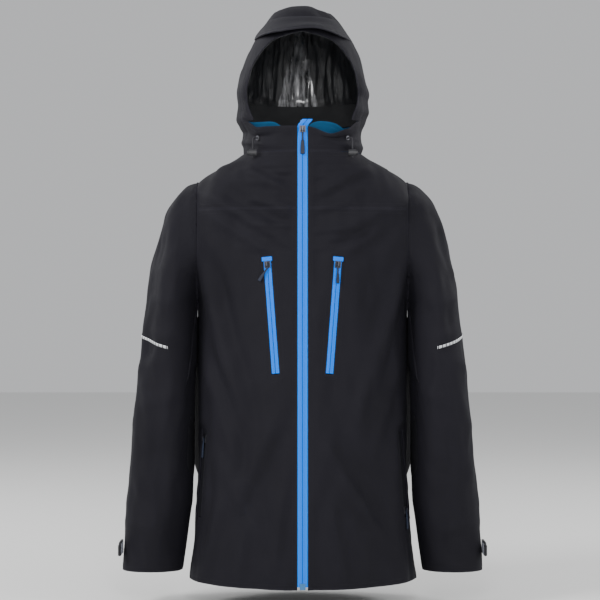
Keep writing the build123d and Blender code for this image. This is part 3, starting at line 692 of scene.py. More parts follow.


# ---------------------------------------------------------------------------------------------
# Sleeves: two-piece sleeves in the shell cloth, set into the armholes, with slack folds at the
# elbow and the cuff.

sleeve_rings = (
    (-0.738, 0.0545, 0.043, 0.2685, -0.004), (-0.690, 0.0565, 0.048, 0.2635, -0.004),
    (-0.643, 0.0580, 0.0534, 0.2590, -0.004), (-0.600, 0.0600, 0.0575, 0.2540, -0.004),
    (-0.557, 0.0605, 0.0615, 0.2490, -0.004), (-0.507, 0.0585, 0.0645, 0.2470, -0.004),
    (-0.457, 0.0562, 0.0674, 0.2448, -0.004), (-0.398, 0.0525, 0.0722, 0.2424, -0.001),
    (-0.338, 0.0490, 0.0770, 0.2396, 0.002), (-0.300, 0.0470, 0.0785, 0.2375, 0.005),
    (-0.262, 0.0450, 0.0800, 0.2350, 0.008), (-0.230, 0.0520, 0.0800, 0.2255, 0.010),
    (-0.199, 0.0552, 0.0800, 0.2152, 0.012), (-0.149, 0.0700, 0.0740, 0.1900, 0.012),
    (-0.0996, 0.0650, 0.0620, 0.1800, 0.007), (-0.070, 0.0515, 0.0450, 0.1750, 0.002),
    (-0.052, 0.0330, 0.0280, 0.1720, 0.000), (-0.0455, 0.0150, 0.0120, 0.1700, 0.000),
)
web = 0.0023  # from the armhole's edge to the sleeve's


def raise_arm(piece):
    """Puts the piece's place into its mesh."""
    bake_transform(piece)


def drape_sleeve(piece, side):
    """Long soft folds down the sleeve, with shallow creases across it at the elbow and cuff."""
    points, normals = points_of(piece), normals_of(piece)
    drape = 0.0050 * rumple(points, (0.035, 0.035, 0.17), 21.0 + side)
    drape += 0.0024 * rumple(points, (0.020, 0.020, 0.045), 4.0)
    turn = np.arctan2(points[:, 1], side * (points[:, 0] - side * 0.245))
    for z, tilt, high, width in ((-0.300, 0.5, 0.0022, 0.012), (-0.345, -0.6, 0.0026, 0.012),
                                 (-0.385, 0.55, 0.0030, 0.013), (-0.425, -0.5, 0.0026, 0.012),
                                 (-0.470, 0.4, 0.0020, 0.012), (-0.560, -0.35, 0.0018, 0.013),
                                 (-0.620, 0.45, 0.0024, 0.012), (-0.665, -0.3, 0.0022, 0.010),
                                 (-0.230, -0.7, 0.0022, 0.013), (-0.180, 0.6, 0.0016, 0.012)):
        level = (points[:, 2] - z - tilt * 0.045 * np.sin(turn + z * 40)) / width
        drape += high * np.exp(-level**2) * (0.55 + 0.45 * np.sin(turn * 2 + z * 90))
    calm = step_between(side * points[:, 0], armhole_x, armhole_x + 0.05)
    calm *= step_between(points[:, 2], -0.738, -0.715)
    outside = step_between(np.abs(turn), 0.25, 0.9) * 0.65 + 0.35
    inward = np.clip(normals[:, 0] * -side, 0, 1)
    drape = np.clip(drape * calm * outside * 1.3, -0.0055, 0.0080) * (1 - inward)
    put_points(piece, points + normals * drape[:, None])


ease_reach, seam_allowance = 0.06, 0.003
for name, side in SIDES:
    sleeve = ring_tube("sleeve", [(z, w, d, side * x, y) for z, w, d, x, y in sleeve_rings],
                       around=48, steps=2, closed=True)
    drape_sleeve(sleeve, side)
    cut(sleeve, (side * (armhole_x + web), 0, 0), (1, 0, 0), lambda c, s=side: c.x * s < armhole_x + 0.03)
    trim(sleeve, lambda c, s=side: c.x * s < armhole_x + web)
    # the sleeve's head is eased to the edge of the armhole
    points = points_of(sleeve)
    armhole = search_tree(armhole_edges[name])
    head = [i for chain in boundary_chains(sleeve) for i in set(chain)
            if abs(points[i][0] - side * (armhole_x + web)) < 0.0004]
    heads = search_tree(points[head])
    eased = np.array([np.array(armhole.find(point)[0]) - point for point in points[head]]) * (0, 1, 1)
    moved = points.copy()
    for i, point in enumerate(points):
        close = heads.find_n(point, 5)
        if close[0][2] < ease_reach:
            weights = [1 / (distance + 1e-5) for _, _, distance in close]
            pull = sum(eased[k] * weight for (_, k, _), weight in zip(close, weights)) / sum(weights)
            moved[i] += pull * step_between(ease_reach - close[0][2], 0, ease_reach)
    put_points(sleeve, moved)
    choose(sleeve, lambda c: False)
    bpy.ops.mesh.select_mode(type="EDGE")
    end_edit()
    for line in sleeve.data.edges:
        a, b = (sleeve.data.vertices[v].co.x * side for v in line.vertices)
        line.select = max(a, b) < armhole_x + web + 0.0004
    bpy.ops.object.mode_set(mode="EDIT")
    bpy.ops.mesh.extrude_region_move(TRANSFORM_OT_translate={"value": (-side * web, 0, 0)})
    # the seam allowance lies inside the body
    bpy.ops.mesh.extrude_region_move(TRANSFORM_OT_translate={"value": (-side * seam_allowance, 0, 0)})
    bpy.ops.transform.resize(value=(1, 0.955, 0.965), center_override=(side * 0.184, 0.003, -0.157))
    bpy.ops.mesh.select_all(action="SELECT")
    bpy.ops.mesh.normals_make_consistent(inside=False)
    end_edit()
    sleeve.name = "jacket_sleeve_" + name
    sew(sleeve, shell_thickness)
    finish(sleeve, shell_cloth, "shell_fabric", None, "sleeve_" + name)
    raise_arm(sleeve)


# ---------------------------------------------------------------------------------------------
# Collar and hood: the collar stands round the neck and runs up into a three-panel hood with a
# band round the face. The shell cloth is sewn over a blue brushed facing inside the collar.

hood_rings = (
    (0.004, 0.1060, 0.0880, 0.0, -0.0127), (0.020, 0.1052, 0.0890, 0.0, -0.0107),
    (0.036, 0.1055, 0.0900, 0.0, -0.0086), (0.060, 0.1130, 0.0975, 0.0, 0.0006),
    (0.089, 0.1190, 0.1120, 0.0, 0.0070), (0.1185, 0.1215, 0.1210, 0.0, 0.0080),
    (0.156, 0.1094, 0.1210, 0.0, 0.0040), (0.194, 0.0948, 0.1125, 0.0, -0.0020),
    (0.227, 0.0741, 0.0920, 0.0, -0.0040), (0.252, 0.0547, 0.0678, 0.0, -0.0040),
    (0.2655, 0.0300, 0.0380, 0.0, -0.0040), (0.2695, 0.0100, 0.0120, 0.0, -0.0040),
)
collar_top, band_y, seam_x, face_top = 0.060, -0.035, 0.045, 0.212


def turn_with_hood(piece):
    """Puts a hood piece's place into its mesh."""
    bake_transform(piece)


def inside_rings(rings, inset, sink):
    """The same rings drawn in, and lowered towards the top of the head."""
    return [(z - inset * step_between(z, 0.15, 0.26) * sink, w - inset, d - inset, x, y)
            for z, w, d, x, y in rings]


def face_outline(inset=0.0):
    """Points round the face opening, as x and z."""
    marks = ((0.086, 0.058), (0.098, 0.090), (0.100, 0.115), (0.090, 0.160), (0.055, 0.200),
             (0.0, face_top))
    half = []
    for (x0, z0), (x1, z1) in zip(marks, marks[1:]):
        half += [(x0 + (x1 - x0) * i / 8, z0 + (z1 - z0) * i / 8) for i in range(8)]
    half.append(marks[-1])
    for _ in range(6):
        half = [half[0]] + [((a[0] + 2 * b[0] + c[0]) / 4, (a[1] + 2 * b[1] + c[1]) / 4)
                            for a, b, c in zip(half, half[1:], half[2:])] + [half[-1]]
    return [(x - inset, z - inset * z / face_top) for x, z in half]


def open_face(piece, inset=0.0):
    """Opens the front of the hood along the face outline."""
    outline = np.array(face_outline(inset))

    def inside(c):
        width = np.interp(c.z, outline[:, 1], outline[:, 0])
        return c.y < 0 and outline[0, 1] - 0.02 < c.z < outline[-1, 1] and abs(c.x) < width
    trim(piece, inside)
    spots = []
    for a, b in zip(outline, outline[1:]):
        for i in range(10):
            x, z = a + (b - a) * i / 10
            spots += [(x, 0, z), (-x, 0, z)]
    tree = search_tree(spots)
    points = points_of(piece)
    rim = {i for chain in boundary_chains(piece) for i in chain}
    for i in rim:
        x, y, z = points[i]
        if y < -0.04 and outline[0, 1] - 0.004 < z < face_top + 0.012:
            spot, _, gap = tree.find((x, 0, z))
            if gap < 0.012:
                points[i][0], points[i][2] = spot[0], spot[2]
    put_points(piece, points)


def drape_hood(piece):
    """Slack folds round the neck, soft dents, and a slight ridge along each long seam."""
    points, normals = points_of(piece), normals_of(piece)
    drape = 0.0042 * rumple(points, (0.055, 0.055, 0.08), 14.0)
    drape += 0.0020 * rumple(points, (0.024, 0.024, 0.03), 2.0)
    wander = 0.008 * np.sin(points[:, 0] * 45 + points[:, 2] * 40)
    sides = step_between(np.abs(points[:, 0]), 0.02, 0.08)
    for z, width, high in ((0.020, 0.007, 0.0030), (0.043, 0.007, -0.0026), (0.072, 0.009, 0.0030),
                           (0.100, 0.010, -0.0022)):
        drape += high * np.exp(-(((points[:, 2] - z - wander) / width) ** 2)) * sides
    for x in (-seam_x, seam_x):
        drape += 0.0014 * np.exp(-(((points[:, 0] - x) / 0.012) ** 2)) * (points[:, 1] > -0.02)
    calm = np.clip(step_between(np.abs(points[:, 0]), 0.008, 0.03) + (points[:, 1] > 0), 0, 1)
    calm = calm * step_between(points[:, 2], 0.002, 0.02)
    put_points(piece, points + normals * np.clip(drape * calm, -0.0045, 0.0065)[:, None])


hood = ring_tube("hood", hood_rings, around=64, steps=2, closed=True)
drape_hood(hood)
cut(hood, (0, band_y, 0), (0, 1, 0), lambda c: abs(c.y - band_y) < 0.03)
cut(hood, (0, 0, collar_top), (0, 0, 1), lambda c: abs(c.z - collar_top) < 0.02 and c.y < band_y)
for x in (-seam_x, seam_x):
    cut(hood, (x, 0, 0), (1, 0, 0), lambda c, x=x: abs(c.x - x) < 0.02 and c.y > band_y)
cut_beside_zip(hood, collar_top)

collar = part_of(hood, "jacket_collar", lambda c: c.y < band_y and c.z < collar_top and abs(c.x) > zip_edge)
points = points_of(collar)
dip = step_between(points[:, 2], 0.022, collar_top) * (1 - step_between(np.abs(points[:, 0]), 0.080, 0.102))
points[:, 2] -= dip * (0.0130 + 0.0130 * np.exp(-(((points[:, 0] - 0.050) / 0.026) ** 2)))
points[:, 1] -= dip * 0.0040
put_points(collar, points)
sew(collar, shell_thickness)
finish(collar, shell_cloth, "shell_fabric", "torso", "collar_shell")

band = part_of(hood, "jacket_hood_band", lambda c: c.y < band_y and c.z > collar_top)
open_face(band)
sew(band, 0.0016)
finish(band, shell_cloth, "shell_fabric", None, "hood_face_band")
turn_with_hood(band)

for name, wanted in (
    ("hood_centre_panel", lambda c: c.y > band_y and abs(c.x) < seam_x),
    ("hood_side_left", lambda c: c.y > band_y and c.x > seam_x),
    ("hood_side_right", lambda c: c.y > band_y and c.x < -seam_x),
):
    piece = part_of(hood, "jacket_" + name, wanted)
    sew(piece, shell_thickness)
    finish(piece, shell_cloth, "shell_fabric", None, name)
    turn_with_hood(piece)
discard(hood)

# blue brushed facing, with soft standing edges that show beside the top of the zip
facing_cloth = cloth("facing_cloth", (0.003, 0.047, 0.110), 0.85, sheen=0.05, threads=900.0,
                     stitches=0.8, gloss=0.2)
facing_foot = 0.005
collar_rings = [ring for ring in inside_rings(hood_rings, 0.0026, 0) if ring[0] < collar_top + 0.002]
facing = ring_tube("facing", collar_rings, around=64, steps=3)
drape_hood(facing)
cut(facing, (0, 0, facing_foot), (0, 0, 1))
cut_beside_zip(facing)
keep(facing, "jacket_collar_facing", lambda c: (
    c.z > facing_foot and not (abs(c.x) < zip_edge and c.y < 0)))
points = points_of(facing)
rise = step_between(points[:, 2], 0.022, 0.060) * step_between(-points[:, 1], 0.042, 0.075)
standing = np.exp(-(((points[:, 0] + 0.066) / 0.030) ** 4))
standing += np.exp(-(((points[:, 0] - 0.041) / 0.034) ** 4))
points[:, 2] -= rise * (0.0200 - 0.0165 * standing)
points[:, 2] -= rise * 0.0050 * step_between(points[:, 0], 0.03, 0.08)
points[:, 1] += rise * 0.0040
put_points(facing, points)
sew(facing, 0.0010)
finish(facing, facing_cloth, "facing_blue", "torso", "collar_facing")


# ---------------------------------------------------------------------------------------------
# Brim of the hood: two plies of shell cloth over a flexible stiffener, topstitched along the
# front edge, and sewn over the top of the face band.

# the brim's shell cloth is given a lighter colour than the rest of the shell: painted light
brim_cloth_painted_lighter = cloth("brim_cloth_painted_lighter", (0.0125, 0.0120, 0.0160), 0.64, sheen=0.01, creases=0.7, gloss=0.18)
brim = ring_tube("brim", (
    (0.2035, 0.0915, 0.1300, 0.0, -0.0026), (0.2120, 0.0880, 0.1190, 0.0, -0.0032),
    (0.2210, 0.0815, 0.1066, 0.0, -0.0036), (0.2310, 0.0745, 0.0945, 0.0, -0.0040),
    (0.2400, 0.0665, 0.0832, 0.0, -0.0040),
), around=96, steps=2)
brim_back = -0.043
cut(brim, (0, brim_back, 0), (0, 1, 0), lambda c: abs(c.y - brim_back) < 0.03)
keep(brim, "jacket_hood_brim", lambda c: c.y < brim_back)
points = points_of(brim)
low = 1 - step_between(points[:, 2], 0.2035, 0.232)
points[:, 2] += low * 0.0100 * np.cos(np.clip(points[:, 0] / 0.092, -1, 1) * pi / 2)
points[:, 1] += low * 0.010 * (points[:, 0] / 0.09) ** 2
points[:, 2] += low * 0.0016 * np.sin(points[:, 0] * 60)
put_points(brim, points)
sew(brim, 0.0026, sink=0.0008)
finish(brim, brim_cloth_painted_lighter, "hood_brim", None, "hood_brim")
turn_with_hood(brim)


# ---------------------------------------------------------------------------------------------
# Hood lining: glossy black taffeta with taped seams, gathered so that it wrinkles up and down
# at the back of the head, over a plain matt band round the neck.

neck_band_top = 0.104


def crinkled_lining():
    """Taffeta that wrinkles up and down, glossier on the panel down its middle, with a streaky highlight
    painted pale silver into the colour of that panel.
    """
    made = cloth("hood_lining_cloth", (0.0125, 0.0130, 0.0150), 0.36, threads=2200.0, creases=1.3,
                 depth=0.0015)
    tree = made.node_tree
    shader = tree.nodes["Principled BSDF"]
    set_inputs(shader, {"Specular IOR Level": 0.75, "Coat Roughness": 0.17})
    place = node(tree, "ShaderNodeTexCoord").outputs["Object"]
    split = node(tree, "ShaderNodeSeparateXYZ")
    tree.links.new(place, split.inputs[0])
    gloss = maths(tree, "GREATER_THAN", split.outputs["Z"], neck_band_top)
    squeeze = node(tree, "ShaderNodeMapping")
    squeeze.inputs["Scale"].default_value = (1.0, 0.5, 0.16)
    tree.links.new(place, squeeze.inputs["Vector"])
    streak = noise_at(tree, squeeze.outputs["Vector"], 95.0, 4.0, 0.6)
    height = times(tree, streak, times(tree, gloss, 3.2))
    bump = shader.inputs["Normal"].links[0].from_node
    height = plus(tree, bump.inputs["Height"].links[0].from_socket, height)
    tree.links.new(height, bump.inputs["Height"])
    # the glossy taped panel down the middle, wider towards its straight lower edge
    down = maths(tree, "SUBTRACT", 0.225, split.outputs["Z"])
    reach = plus(tree, times(tree, down, 0.24), 0.008)
    wobble = times(tree, maths(tree, "SUBTRACT", streak, 0.5), 0.016)
    off = plus(tree, plus(tree, split.outputs["X"], 0.008), wobble)
    off = maths(tree, "ABSOLUTE", off)
    inside = times(tree, maths(tree, "LESS_THAN", off, reach), gloss)
    inside = times(tree, inside, maths(tree, "GREATER_THAN", split.outputs["Y"], 0.02))
    coat = plus(tree, times(tree, inside, 0.9), 0.05)
    tree.links.new(coat, shader.inputs["Coat Weight"])
    # painted highlight: pale silver streaks mixed into the panel's colour, stronger towards its lower edge
    bright = times(tree, maths(tree, "SUBTRACT", streak, 0.40), 3.2)
    bright = maths(tree, "MINIMUM", maths(tree, "MAXIMUM", bright, 0.04), 1.0)
    low_down = maths(tree, "MINIMUM", times(tree, down, 8.5), 1.0)
    bright = times(tree, bright, maths(tree, "MAXIMUM", low_down, 0.3))
    plain = shader.inputs["Base Color"].links[0].from_socket
    painted_highlight_colour = mixed_colour(tree, times(tree, inside, bright), plain, (0.62, 0.62, 0.64))
    tree.links.new(painted_highlight_colour, shader.inputs["Base Color"])
    tree.links.new(times(tree, inside, 0.55), shader.inputs["Metallic"])
    rough = maths(tree, "SUBTRACT", 0.78, times(tree, gloss, 0.46))
    rough = maths(tree, "SUBTRACT", rough, times(tree, inside, 0.08))
    rough = plus(tree, rough, times(tree, streak, 0.08))
    tree.links.new(rough, shader.inputs["Roughness"])
    return made


lining = ring_tube("hood_lining", inside_rings(hood_rings, 0.0032, 1), around=72, steps=3, closed=True)
drape_hood(lining)
lining_foot = collar_top + 0.002
cut(lining, (0, 0, lining_foot), (0, 0, 1), lambda c: abs(c.z - lining_foot) < 0.02)
keep(lining, "jacket_hood_lining", lambda c: c.z > lining_foot)
open_face(lining, 0.001)
points, normals = points_of(lining), normals_of(lining)
gather = step_between(points[:, 1], -0.04, 0.06) * step_between(points[:, 2], neck_band_top, 0.125)
ripple = rumple(points, (0.012, 0.05, 0.11), 33.0) + 0.5 * rumple(points, (0.006, 0.05, 0.06), 8.0)
inward = np.clip(ripple * 0.0055 * gather + 0.004 * gather, 0, 0.011)
inward += 0.0014 * np.clip(rumple(points, (0.05, 0.05, 0.05), 17.0), 0, 1)
put_points(lining, points - normals * inward[:, None])
sew(lining, 0.0009, sink=0.0)
finish(lining, crinkled_lining(), "hood_lining", None, "hood_lining")
turn_with_hood(lining)


# ---------------------------------------------------------------------------------------------
# Linings: smooth black taffeta inside the body and sleeves, a facing round the hem, a storm flap
# behind the main zip, and pocket bags of black tricot between shell and lining.

taffeta = cloth("lining_taffeta", (0.010, 0.010, 0.0125), 0.42, threads=2200.0, creases=1.2, stitches=0.6)
tricot = cloth("pocket_tricot", (0.018, 0.018, 0.020), 0.85, threads=800.0, stitches=0.7)

lining_thickness = 0.0008
lining_low, lining_high, lining_side, lining_front = -0.714, -0.010, 0.184, 0.024
body_lining = ring_tube("inner", body_rings(0.0095), around=64, steps=1)
drape_body(body_lining)
for z in (lining_low, lining_high, armhole_z):
    cut(body_lining, (0, 0, z), (0, 0, 1), lambda c, z=z: abs(c.z - z) < 0.04)
for side in (1, -1):
    cut(body_lining, (side * lining_side, 0, 0), (1, 0, 0),
        lambda c: abs(c.x) > 0.15 and c.z > armhole_z - 0.02)
    cut(body_lining, (side * lining_front, 0, 0), (1, 0, 0), lambda c: abs(c.x) < 0.05 and c.y < 0)
keep(body_lining, "jacket_body_lining", lambda c: (
    lining_low < c.z < lining_high and not (abs(c.x) > lining_side and c.z > armhole_z)
    and not (abs(c.x) < lining_front and c.y < 0)))
points, normals = points_of(body_lining), normals_of(body_lining)
slack = np.clip(rumple(points, (0.05, 0.05, 0.12), 6.0), -1, 0) * 0.0035
put_points(body_lining, points + normals * slack[:, None])
sew(body_lining, lining_thickness, sink=0.0)
finish(body_lining, taffeta, "lining", "torso", "body_lining")

hem_low, hem_high = 0.001 - body_length, 0.035 - body_length
hem = ring_tube("hem", body_rings(0.0034, high=-0.56), around=72, steps=2)
drape_body(hem)
for z in (hem_low, hem_high):
    cut(hem, (0, 0, z), (0, 0, 1), lambda c, z=z: abs(c.z - z) < 0.03)
cut_beside_zip(hem)
keep(hem, "jacket_hem_facing", lambda c: (
    hem_low < c.z < hem_high and not (abs(c.x) < zip_edge and c.y < 0)))
sew(hem, lining_thickness, sink=0.0)
finish(hem, taffeta, "lining", "torso", "hem_facing")

bags = ring_tube("bags", body_rings(0.0082), around=72, steps=2)
drape_body(bags)
chest_inner, chest_outer, chest_low, chest_high = 0.036, 0.140, -0.398, -0.174
hand_inner, hand_back, hand_low, hand_high = 0.060, -0.020, -0.660, -0.482
for side in (1, -1):
    for x in (chest_inner, chest_outer, hand_inner):
        cut(bags, (side * x, 0, 0), (1, 0, 0), lambda c, x=x, s=side: abs(c.x - s * x) < 0.02 and c.y < 0)
for z in (chest_low, chest_high, hand_low, hand_high):
    cut(bags, (0, 0, z), (0, 0, 1), lambda c, z=z: abs(c.z - z) < 0.02)
cut(bags, (0, hand_back, 0), (0, 1, 0), lambda c: abs(c.y - hand_back) < 0.02)
for name, side in SIDES:
    for kind, wanted in (
        ("chest", lambda c, s=side: (
            chest_inner < c.x * s < chest_outer and c.y < 0 and chest_low < c.z < chest_high)),
        ("hand", lambda c, s=side: c.x * s > hand_inner and c.y < hand_back and hand_low < c.z < hand_high),
    ):
        bag = part_of(bags, f"jacket_{kind}_pocket_bag_{name}", wanted)
        sew(bag, lining_thickness, sink=0.0)
        finish(bag, tricot, "pocket_bag", "torso", f"{kind}_pocket_bag_{name}")
discard(bags)

cuff_facing_top, lining_head, lining_inset = -0.726, 0.1895, 0.0045
for name, side in SIDES:
    rings = [(z, w - lining_inset, d - lining_inset, side * x, y)
             for z, w, d, x, y in sleeve_rings if z < -0.05]
    sleeve_lining = ring_tube("tube", rings, around=48, steps=2)
    drape_sleeve(sleeve_lining, side)
    points, normals = points_of(sleeve_lining), normals_of(sleeve_lining)
    ease = 0.0110 * step_between(points[:, 2], -0.320, -0.250)
    put_points(sleeve_lining, points - normals * ease[:, None])
    cut(sleeve_lining, (0, 0, cuff_facing_top), (0, 0, 1), lambda c: c.z < -0.70)
    cut(sleeve_lining, (side * lining_head, 0, 0), (1, 0, 0), lambda c: abs(c.x) < 0.22)
    keep(sleeve_lining, "jacket_sleeve_lining_" + name,
         lambda c, s=side: c.z > cuff_facing_top and c.x * s > lining_head)
    sew(sleeve_lining, lining_thickness, sink=0.0)
    finish(sleeve_lining, taffeta, "lining", None, "sleeve_lining_" + name)
    raise_arm(sleeve_lining)


def flat_strip(name, wide, long, across, rows):
    """A flat strip in a zip's own frame, from (low, high) across and along, cut into a grid."""
    select_only()
    bpy.ops.mesh.primitive_grid_add(x_subdivisions=across, y_subdivisions=rows, size=1.0)
    strip = bpy.context.object
    strip.name = name
    edit_all()
    bpy.ops.transform.resize(value=(wide[1] - wide[0], long[1] - long[0], 1), center_override=(0, 0, 0))
    bpy.ops.transform.translate(value=((wide[0] + wide[1]) / 2, (long[0] + long[1]) / 2, 0))
    end_edit()
    return strip


def settle(piece, place):
    """Sets a piece down in its place, with that place in its mesh."""
    piece.data.transform(place)
    piece.data.update()
    return piece


main_travel = joints["main_zip_slide"]["range_m"][1]
flap = flat_strip("jacket_storm_flap", (-0.020, 0.020), (-main_travel - 0.007, -0.045), 10, 120)
points = points_of(flap)
points[:, 2] = -0.0090 + 0.0012 * rumple(points, (0.02, 0.09, 0.05), 12.0)
put_points(flap, points)
settle(flap, zip_frame("main_zip"))
sew(flap, 0.0012, sink=0.0)
finish(flap, taffeta, "lining", "torso", "storm_flap")


# ---------------------------------------------------------------------------------------------
# Zips: reversed coil zips on tape with a polyurethane coat, bright blue on the front and chest
# and black on the hand pockets. The two coated edges meet over the coil and hide it.

def coated_tape(name, colour, pale):
    """A satin rubbery coat, paler towards its outer edges and in patches, with painted shade along the
    parting where the two halves meet, ribbed by the coil behind it.
    """
    made, tree, shader = new_material(name)
    shader.inputs["Specular IOR Level"].default_value = 0.06
    across, along = stored(tree, "across"), stored(tree, "along")
    place = node(tree, "ShaderNodeTexCoord").outputs["Object"]
    grain = noise_at(tree, place, 700.0, 3.0)
    patches = noise_at(tree, place, 60.0, 4.0)
    far = times(tree, maths(tree, "POWER", across, 3.0), 0.75)
    coat = mixed_colour(tree, plus(tree, far, times(tree, patches, 0.14)), colour, pale)
    # painted shade: the inner edge of each half is darkened along the parting between the halves
    middle = maths(tree, "LESS_THAN", across, 0.10)
    dark = (colour[0] * 0.25, colour[1] * 0.25, colour[2] * 0.3)
    coat = mixed_colour(tree, times(tree, middle, 0.22), coat, dark)
    tree.links.new(coat, shader.inputs["Base Color"])
    rib_pitch = 0.0013
    ribs = maths(tree, "SINE", times(tree, along, 2 * pi / rib_pitch))
    over_coil = maths(tree, "LESS_THAN", across, 0.42)
    height = times(tree, times(tree, ribs, over_coil), 0.16)
    height = plus(tree, height, times(tree, grain, 0.22))
    emboss(tree, shader, height, 0.0005, 0.8)
    rough = plus(tree, times(tree, patches, 0.16), 0.44)
    tree.links.new(rough, shader.inputs["Roughness"])
    return made


blue_coat = coated_tape("blue_coated_tape", (0.0, 0.180, 0.900), (0.002, 0.225, 0.950))
black_coat = coated_tape("black_coated_tape", (0.008, 0.008, 0.010), (0.030, 0.030, 0.034))


def turn_inside_out(piece):
    """Makes the faces of a mirrored piece look outwards again."""
    choose(piece, lambda c: True)
    bpy.ops.mesh.flip_normals()
    end_edit()


def zip_half(name, place, half, width, low, high, bend=0.0):
    """Half of a zip: coated tape that swells over its coil, as its own closed strip."""
    parting, bend_start = 0.00015, 0.0045
    strip = flat_strip(name, (parting, width / 2), (low, high), 14, max(20, int((high - low) / 0.004)))
    points = points_of(strip)
    share = (points[:, 0] - parting) / (width / 2 - parting)
    swell = 0.00055 * np.exp(-(((points[:, 0] - 0.0022) / 0.0017) ** 2))
    turn_down = 0.0005 * (1 - step_between(points[:, 0], 0.0001, 0.0008))
    turn_down += 0.0014 * step_between(share, 0.82, 1.0)
    store(strip, "across", share)
    store(strip, "along", points[:, 1] + 1.0)
    points[:, 2] = -0.0029 + swell - turn_down + 0.0001 * np.sin(points[:, 1] * 130)
    points[:, 0] *= half
    points[:, 0] += bend * step_between(points[:, 1], bend_start, high)
    points[:, 2] += 0.6 * bend * step_between(points[:, 1], bend_start, bend_start + 0.005)
    put_points(strip, points)
    if half < 0:
        turn_inside_out(strip)
    modifier(strip, "SOLIDIFY", thickness=0.0012, offset=-1)
    settle(strip, place)
    smooth(strip)
    return strip


def coil(name, place, half, low, high):
    """The coil along one edge: a nylon spring of flattened turns, sewn behind the tape."""
    pitch = 0.0026
    count = int((high - low) / pitch)
    select_only()
    bpy.ops.mesh.primitive_torus_add(major_segments=8, minor_segments=4, major_radius=0.00085,
                                     minor_radius=0.00032)
    turn = bpy.context.object
    turn.name = name
    edit_all()
    bpy.ops.transform.rotate(value=radians(78), orient_axis="X", center_override=(0, 0, 0))
    bpy.ops.transform.resize(value=(1.25, 1, 0.75), center_override=(0, 0, 0))
    bpy.ops.transform.translate(value=(half * 0.0021, low + pitch / 2, -0.0052))
    end_edit()
    modifier(turn, "ARRAY", count=count, use_relative_offset=False, use_constant_offset=True,
             constant_offset_displace=(0, pitch, 0))
    settle(turn, place)
    smooth(turn, 60)
    return turn


def joined(first, *others):
    """Several meshes as one piece."""
    select_only(first, *others)
    bpy.ops.object.join()
    return first


def block(middle, size, rounding=0.0, cuts=0):
    """A block of this size, with rounded edges, or cut into small squares for shaping."""
    select_only()
    bpy.ops.mesh.primitive_cube_add(size=1.0, location=middle)
    edit_all()
    bpy.ops.transform.resize(value=tuple(size), center_override=middle)
    if rounding:
        bpy.ops.mesh.bevel(offset=rounding, segments=3)
        bpy.ops.mesh.select_all(action="SELECT")
    if cuts:
        bpy.ops.mesh.subdivide(number_cuts=cuts)
    set_in_mesh()
    return bpy.context.object


def garage(place, high):
    """The bonded end that the slider tucks into: a wider rounded patch over the top of the tapes."""
    end = block((0, high - 0.0030, -0.0020), (0.0185, 0.0078, 0.0026), rounding=0.0011)
    store(end, "across", np.full(len(end.data.vertices), 0.6))
    smooth(end)
    return settle(end, place)


main_place = zip_frame("main_zip")
main_low, main_high, main_width, pocket_width = -main_travel - 0.0135, 0.016, 0.0184, 0.0148
for name, side in SIDES:
    tape = zip_half("jacket_main_zip_tape_" + name, main_place, side, main_width, main_low, main_high,
                    bend=0.0085)
    joined(tape, coil("coil", main_place, side, main_low, 0.006))
    finish(tape, blue_coat, "zip_blue", "torso", "main_zip_tape_" + name)

for zip_name, (low, high) in zip_reach.items():
    kind, _, name = zip_name.split("_")
    place = zip_frame(zip_name)
    halves = [zip_half("half", place, half, pocket_width, low + 0.0012, high - 0.0012) for half in (1, -1)]
    coils = [coil("coil", place, half, low + 0.004, high - 0.004) for half in (1, -1)]
    tapes = joined(halves[0], halves[1], *coils)
    tapes.name = f"jacket_{kind}_zip_tapes_{name}"
    blue = kind == "chest"
    if blue:
        joined(tapes, garage(place, high))
    finish(tapes, blue_coat if blue else black_coat, "zip_blue" if blue else "zip_black", "torso",
           f"{kind}_zip_tapes_{name}")


# ---------------------------------------------------------------------------------------------
# Sliders and end stops: die-cast sliders, plated dark and rubbed bright on their edges, and
# stops moulded onto the ends of the main zip.

grit, grit_in, grit_out = group(
    "hard_surface",
    [("Colour", "NodeSocketColor", (0.02, 0.02, 0.02, 1)), ("Worn", "NodeSocketColor", (0.3, 0.3, 0.3, 1)),
     ("Scale", "NodeSocketFloat", 800.0), ("Wear", "NodeSocketFloat", 0.4),
     ("Roughness", "NodeSocketFloat", 0.4)],
    [("Colour", "NodeSocketColor"), ("Roughness", "NodeSocketFloat"), ("Height", "NodeSocketFloat")])
place = node(grit, "ShaderNodeTexCoord").outputs["Object"]
grain = noise_at(grit, place, grit_in.outputs["Scale"], 4.0, 0.5)
blotch = noise_at(grit, place, 140.0, 4.0)
convex = node(grit, "ShaderNodeNewGeometry").outputs["Pointiness"]
rubbed = times(grit, maths(grit, "MAXIMUM", maths(grit, "SUBTRACT", convex, 0.51), 0.0), 7.0)
rubbed = plus(grit, rubbed, maths(grit, "MAXIMUM", maths(grit, "SUBTRACT", blotch, 0.60), 0.0))
rubbed = maths(grit, "MINIMUM", times(grit, rubbed, grit_in.outputs["Wear"]), 1.0)
colour = mixed_colour(grit, rubbed, grit_in.outputs["Colour"], grit_in.outputs["Worn"])
grit.links.new(colour, grit_out.inputs["Colour"])
rough = plus(grit, grit_in.outputs["Roughness"], times(grit, blotch, 0.18))
grit.links.new(rough, grit_out.inputs["Roughness"])
grit.links.new(grain, grit_out.inputs["Height"])


def hard(name, colour, worn, roughness, metal=0.0, scale=800.0, wear=0.4):
    """A moulded or plated surface with a fine grain, patches and rubbed edges."""
    made, tree, shader = new_material(name)
    shader.inputs["Metallic"].default_value = metal
    surface_from(tree, shader, grit, {
        "Colour": (*colour, 1), "Worn": (*worn, 1), "Scale": scale, "Wear": wear, "Roughness": roughness,
    }, depth=0.00012)
    return made


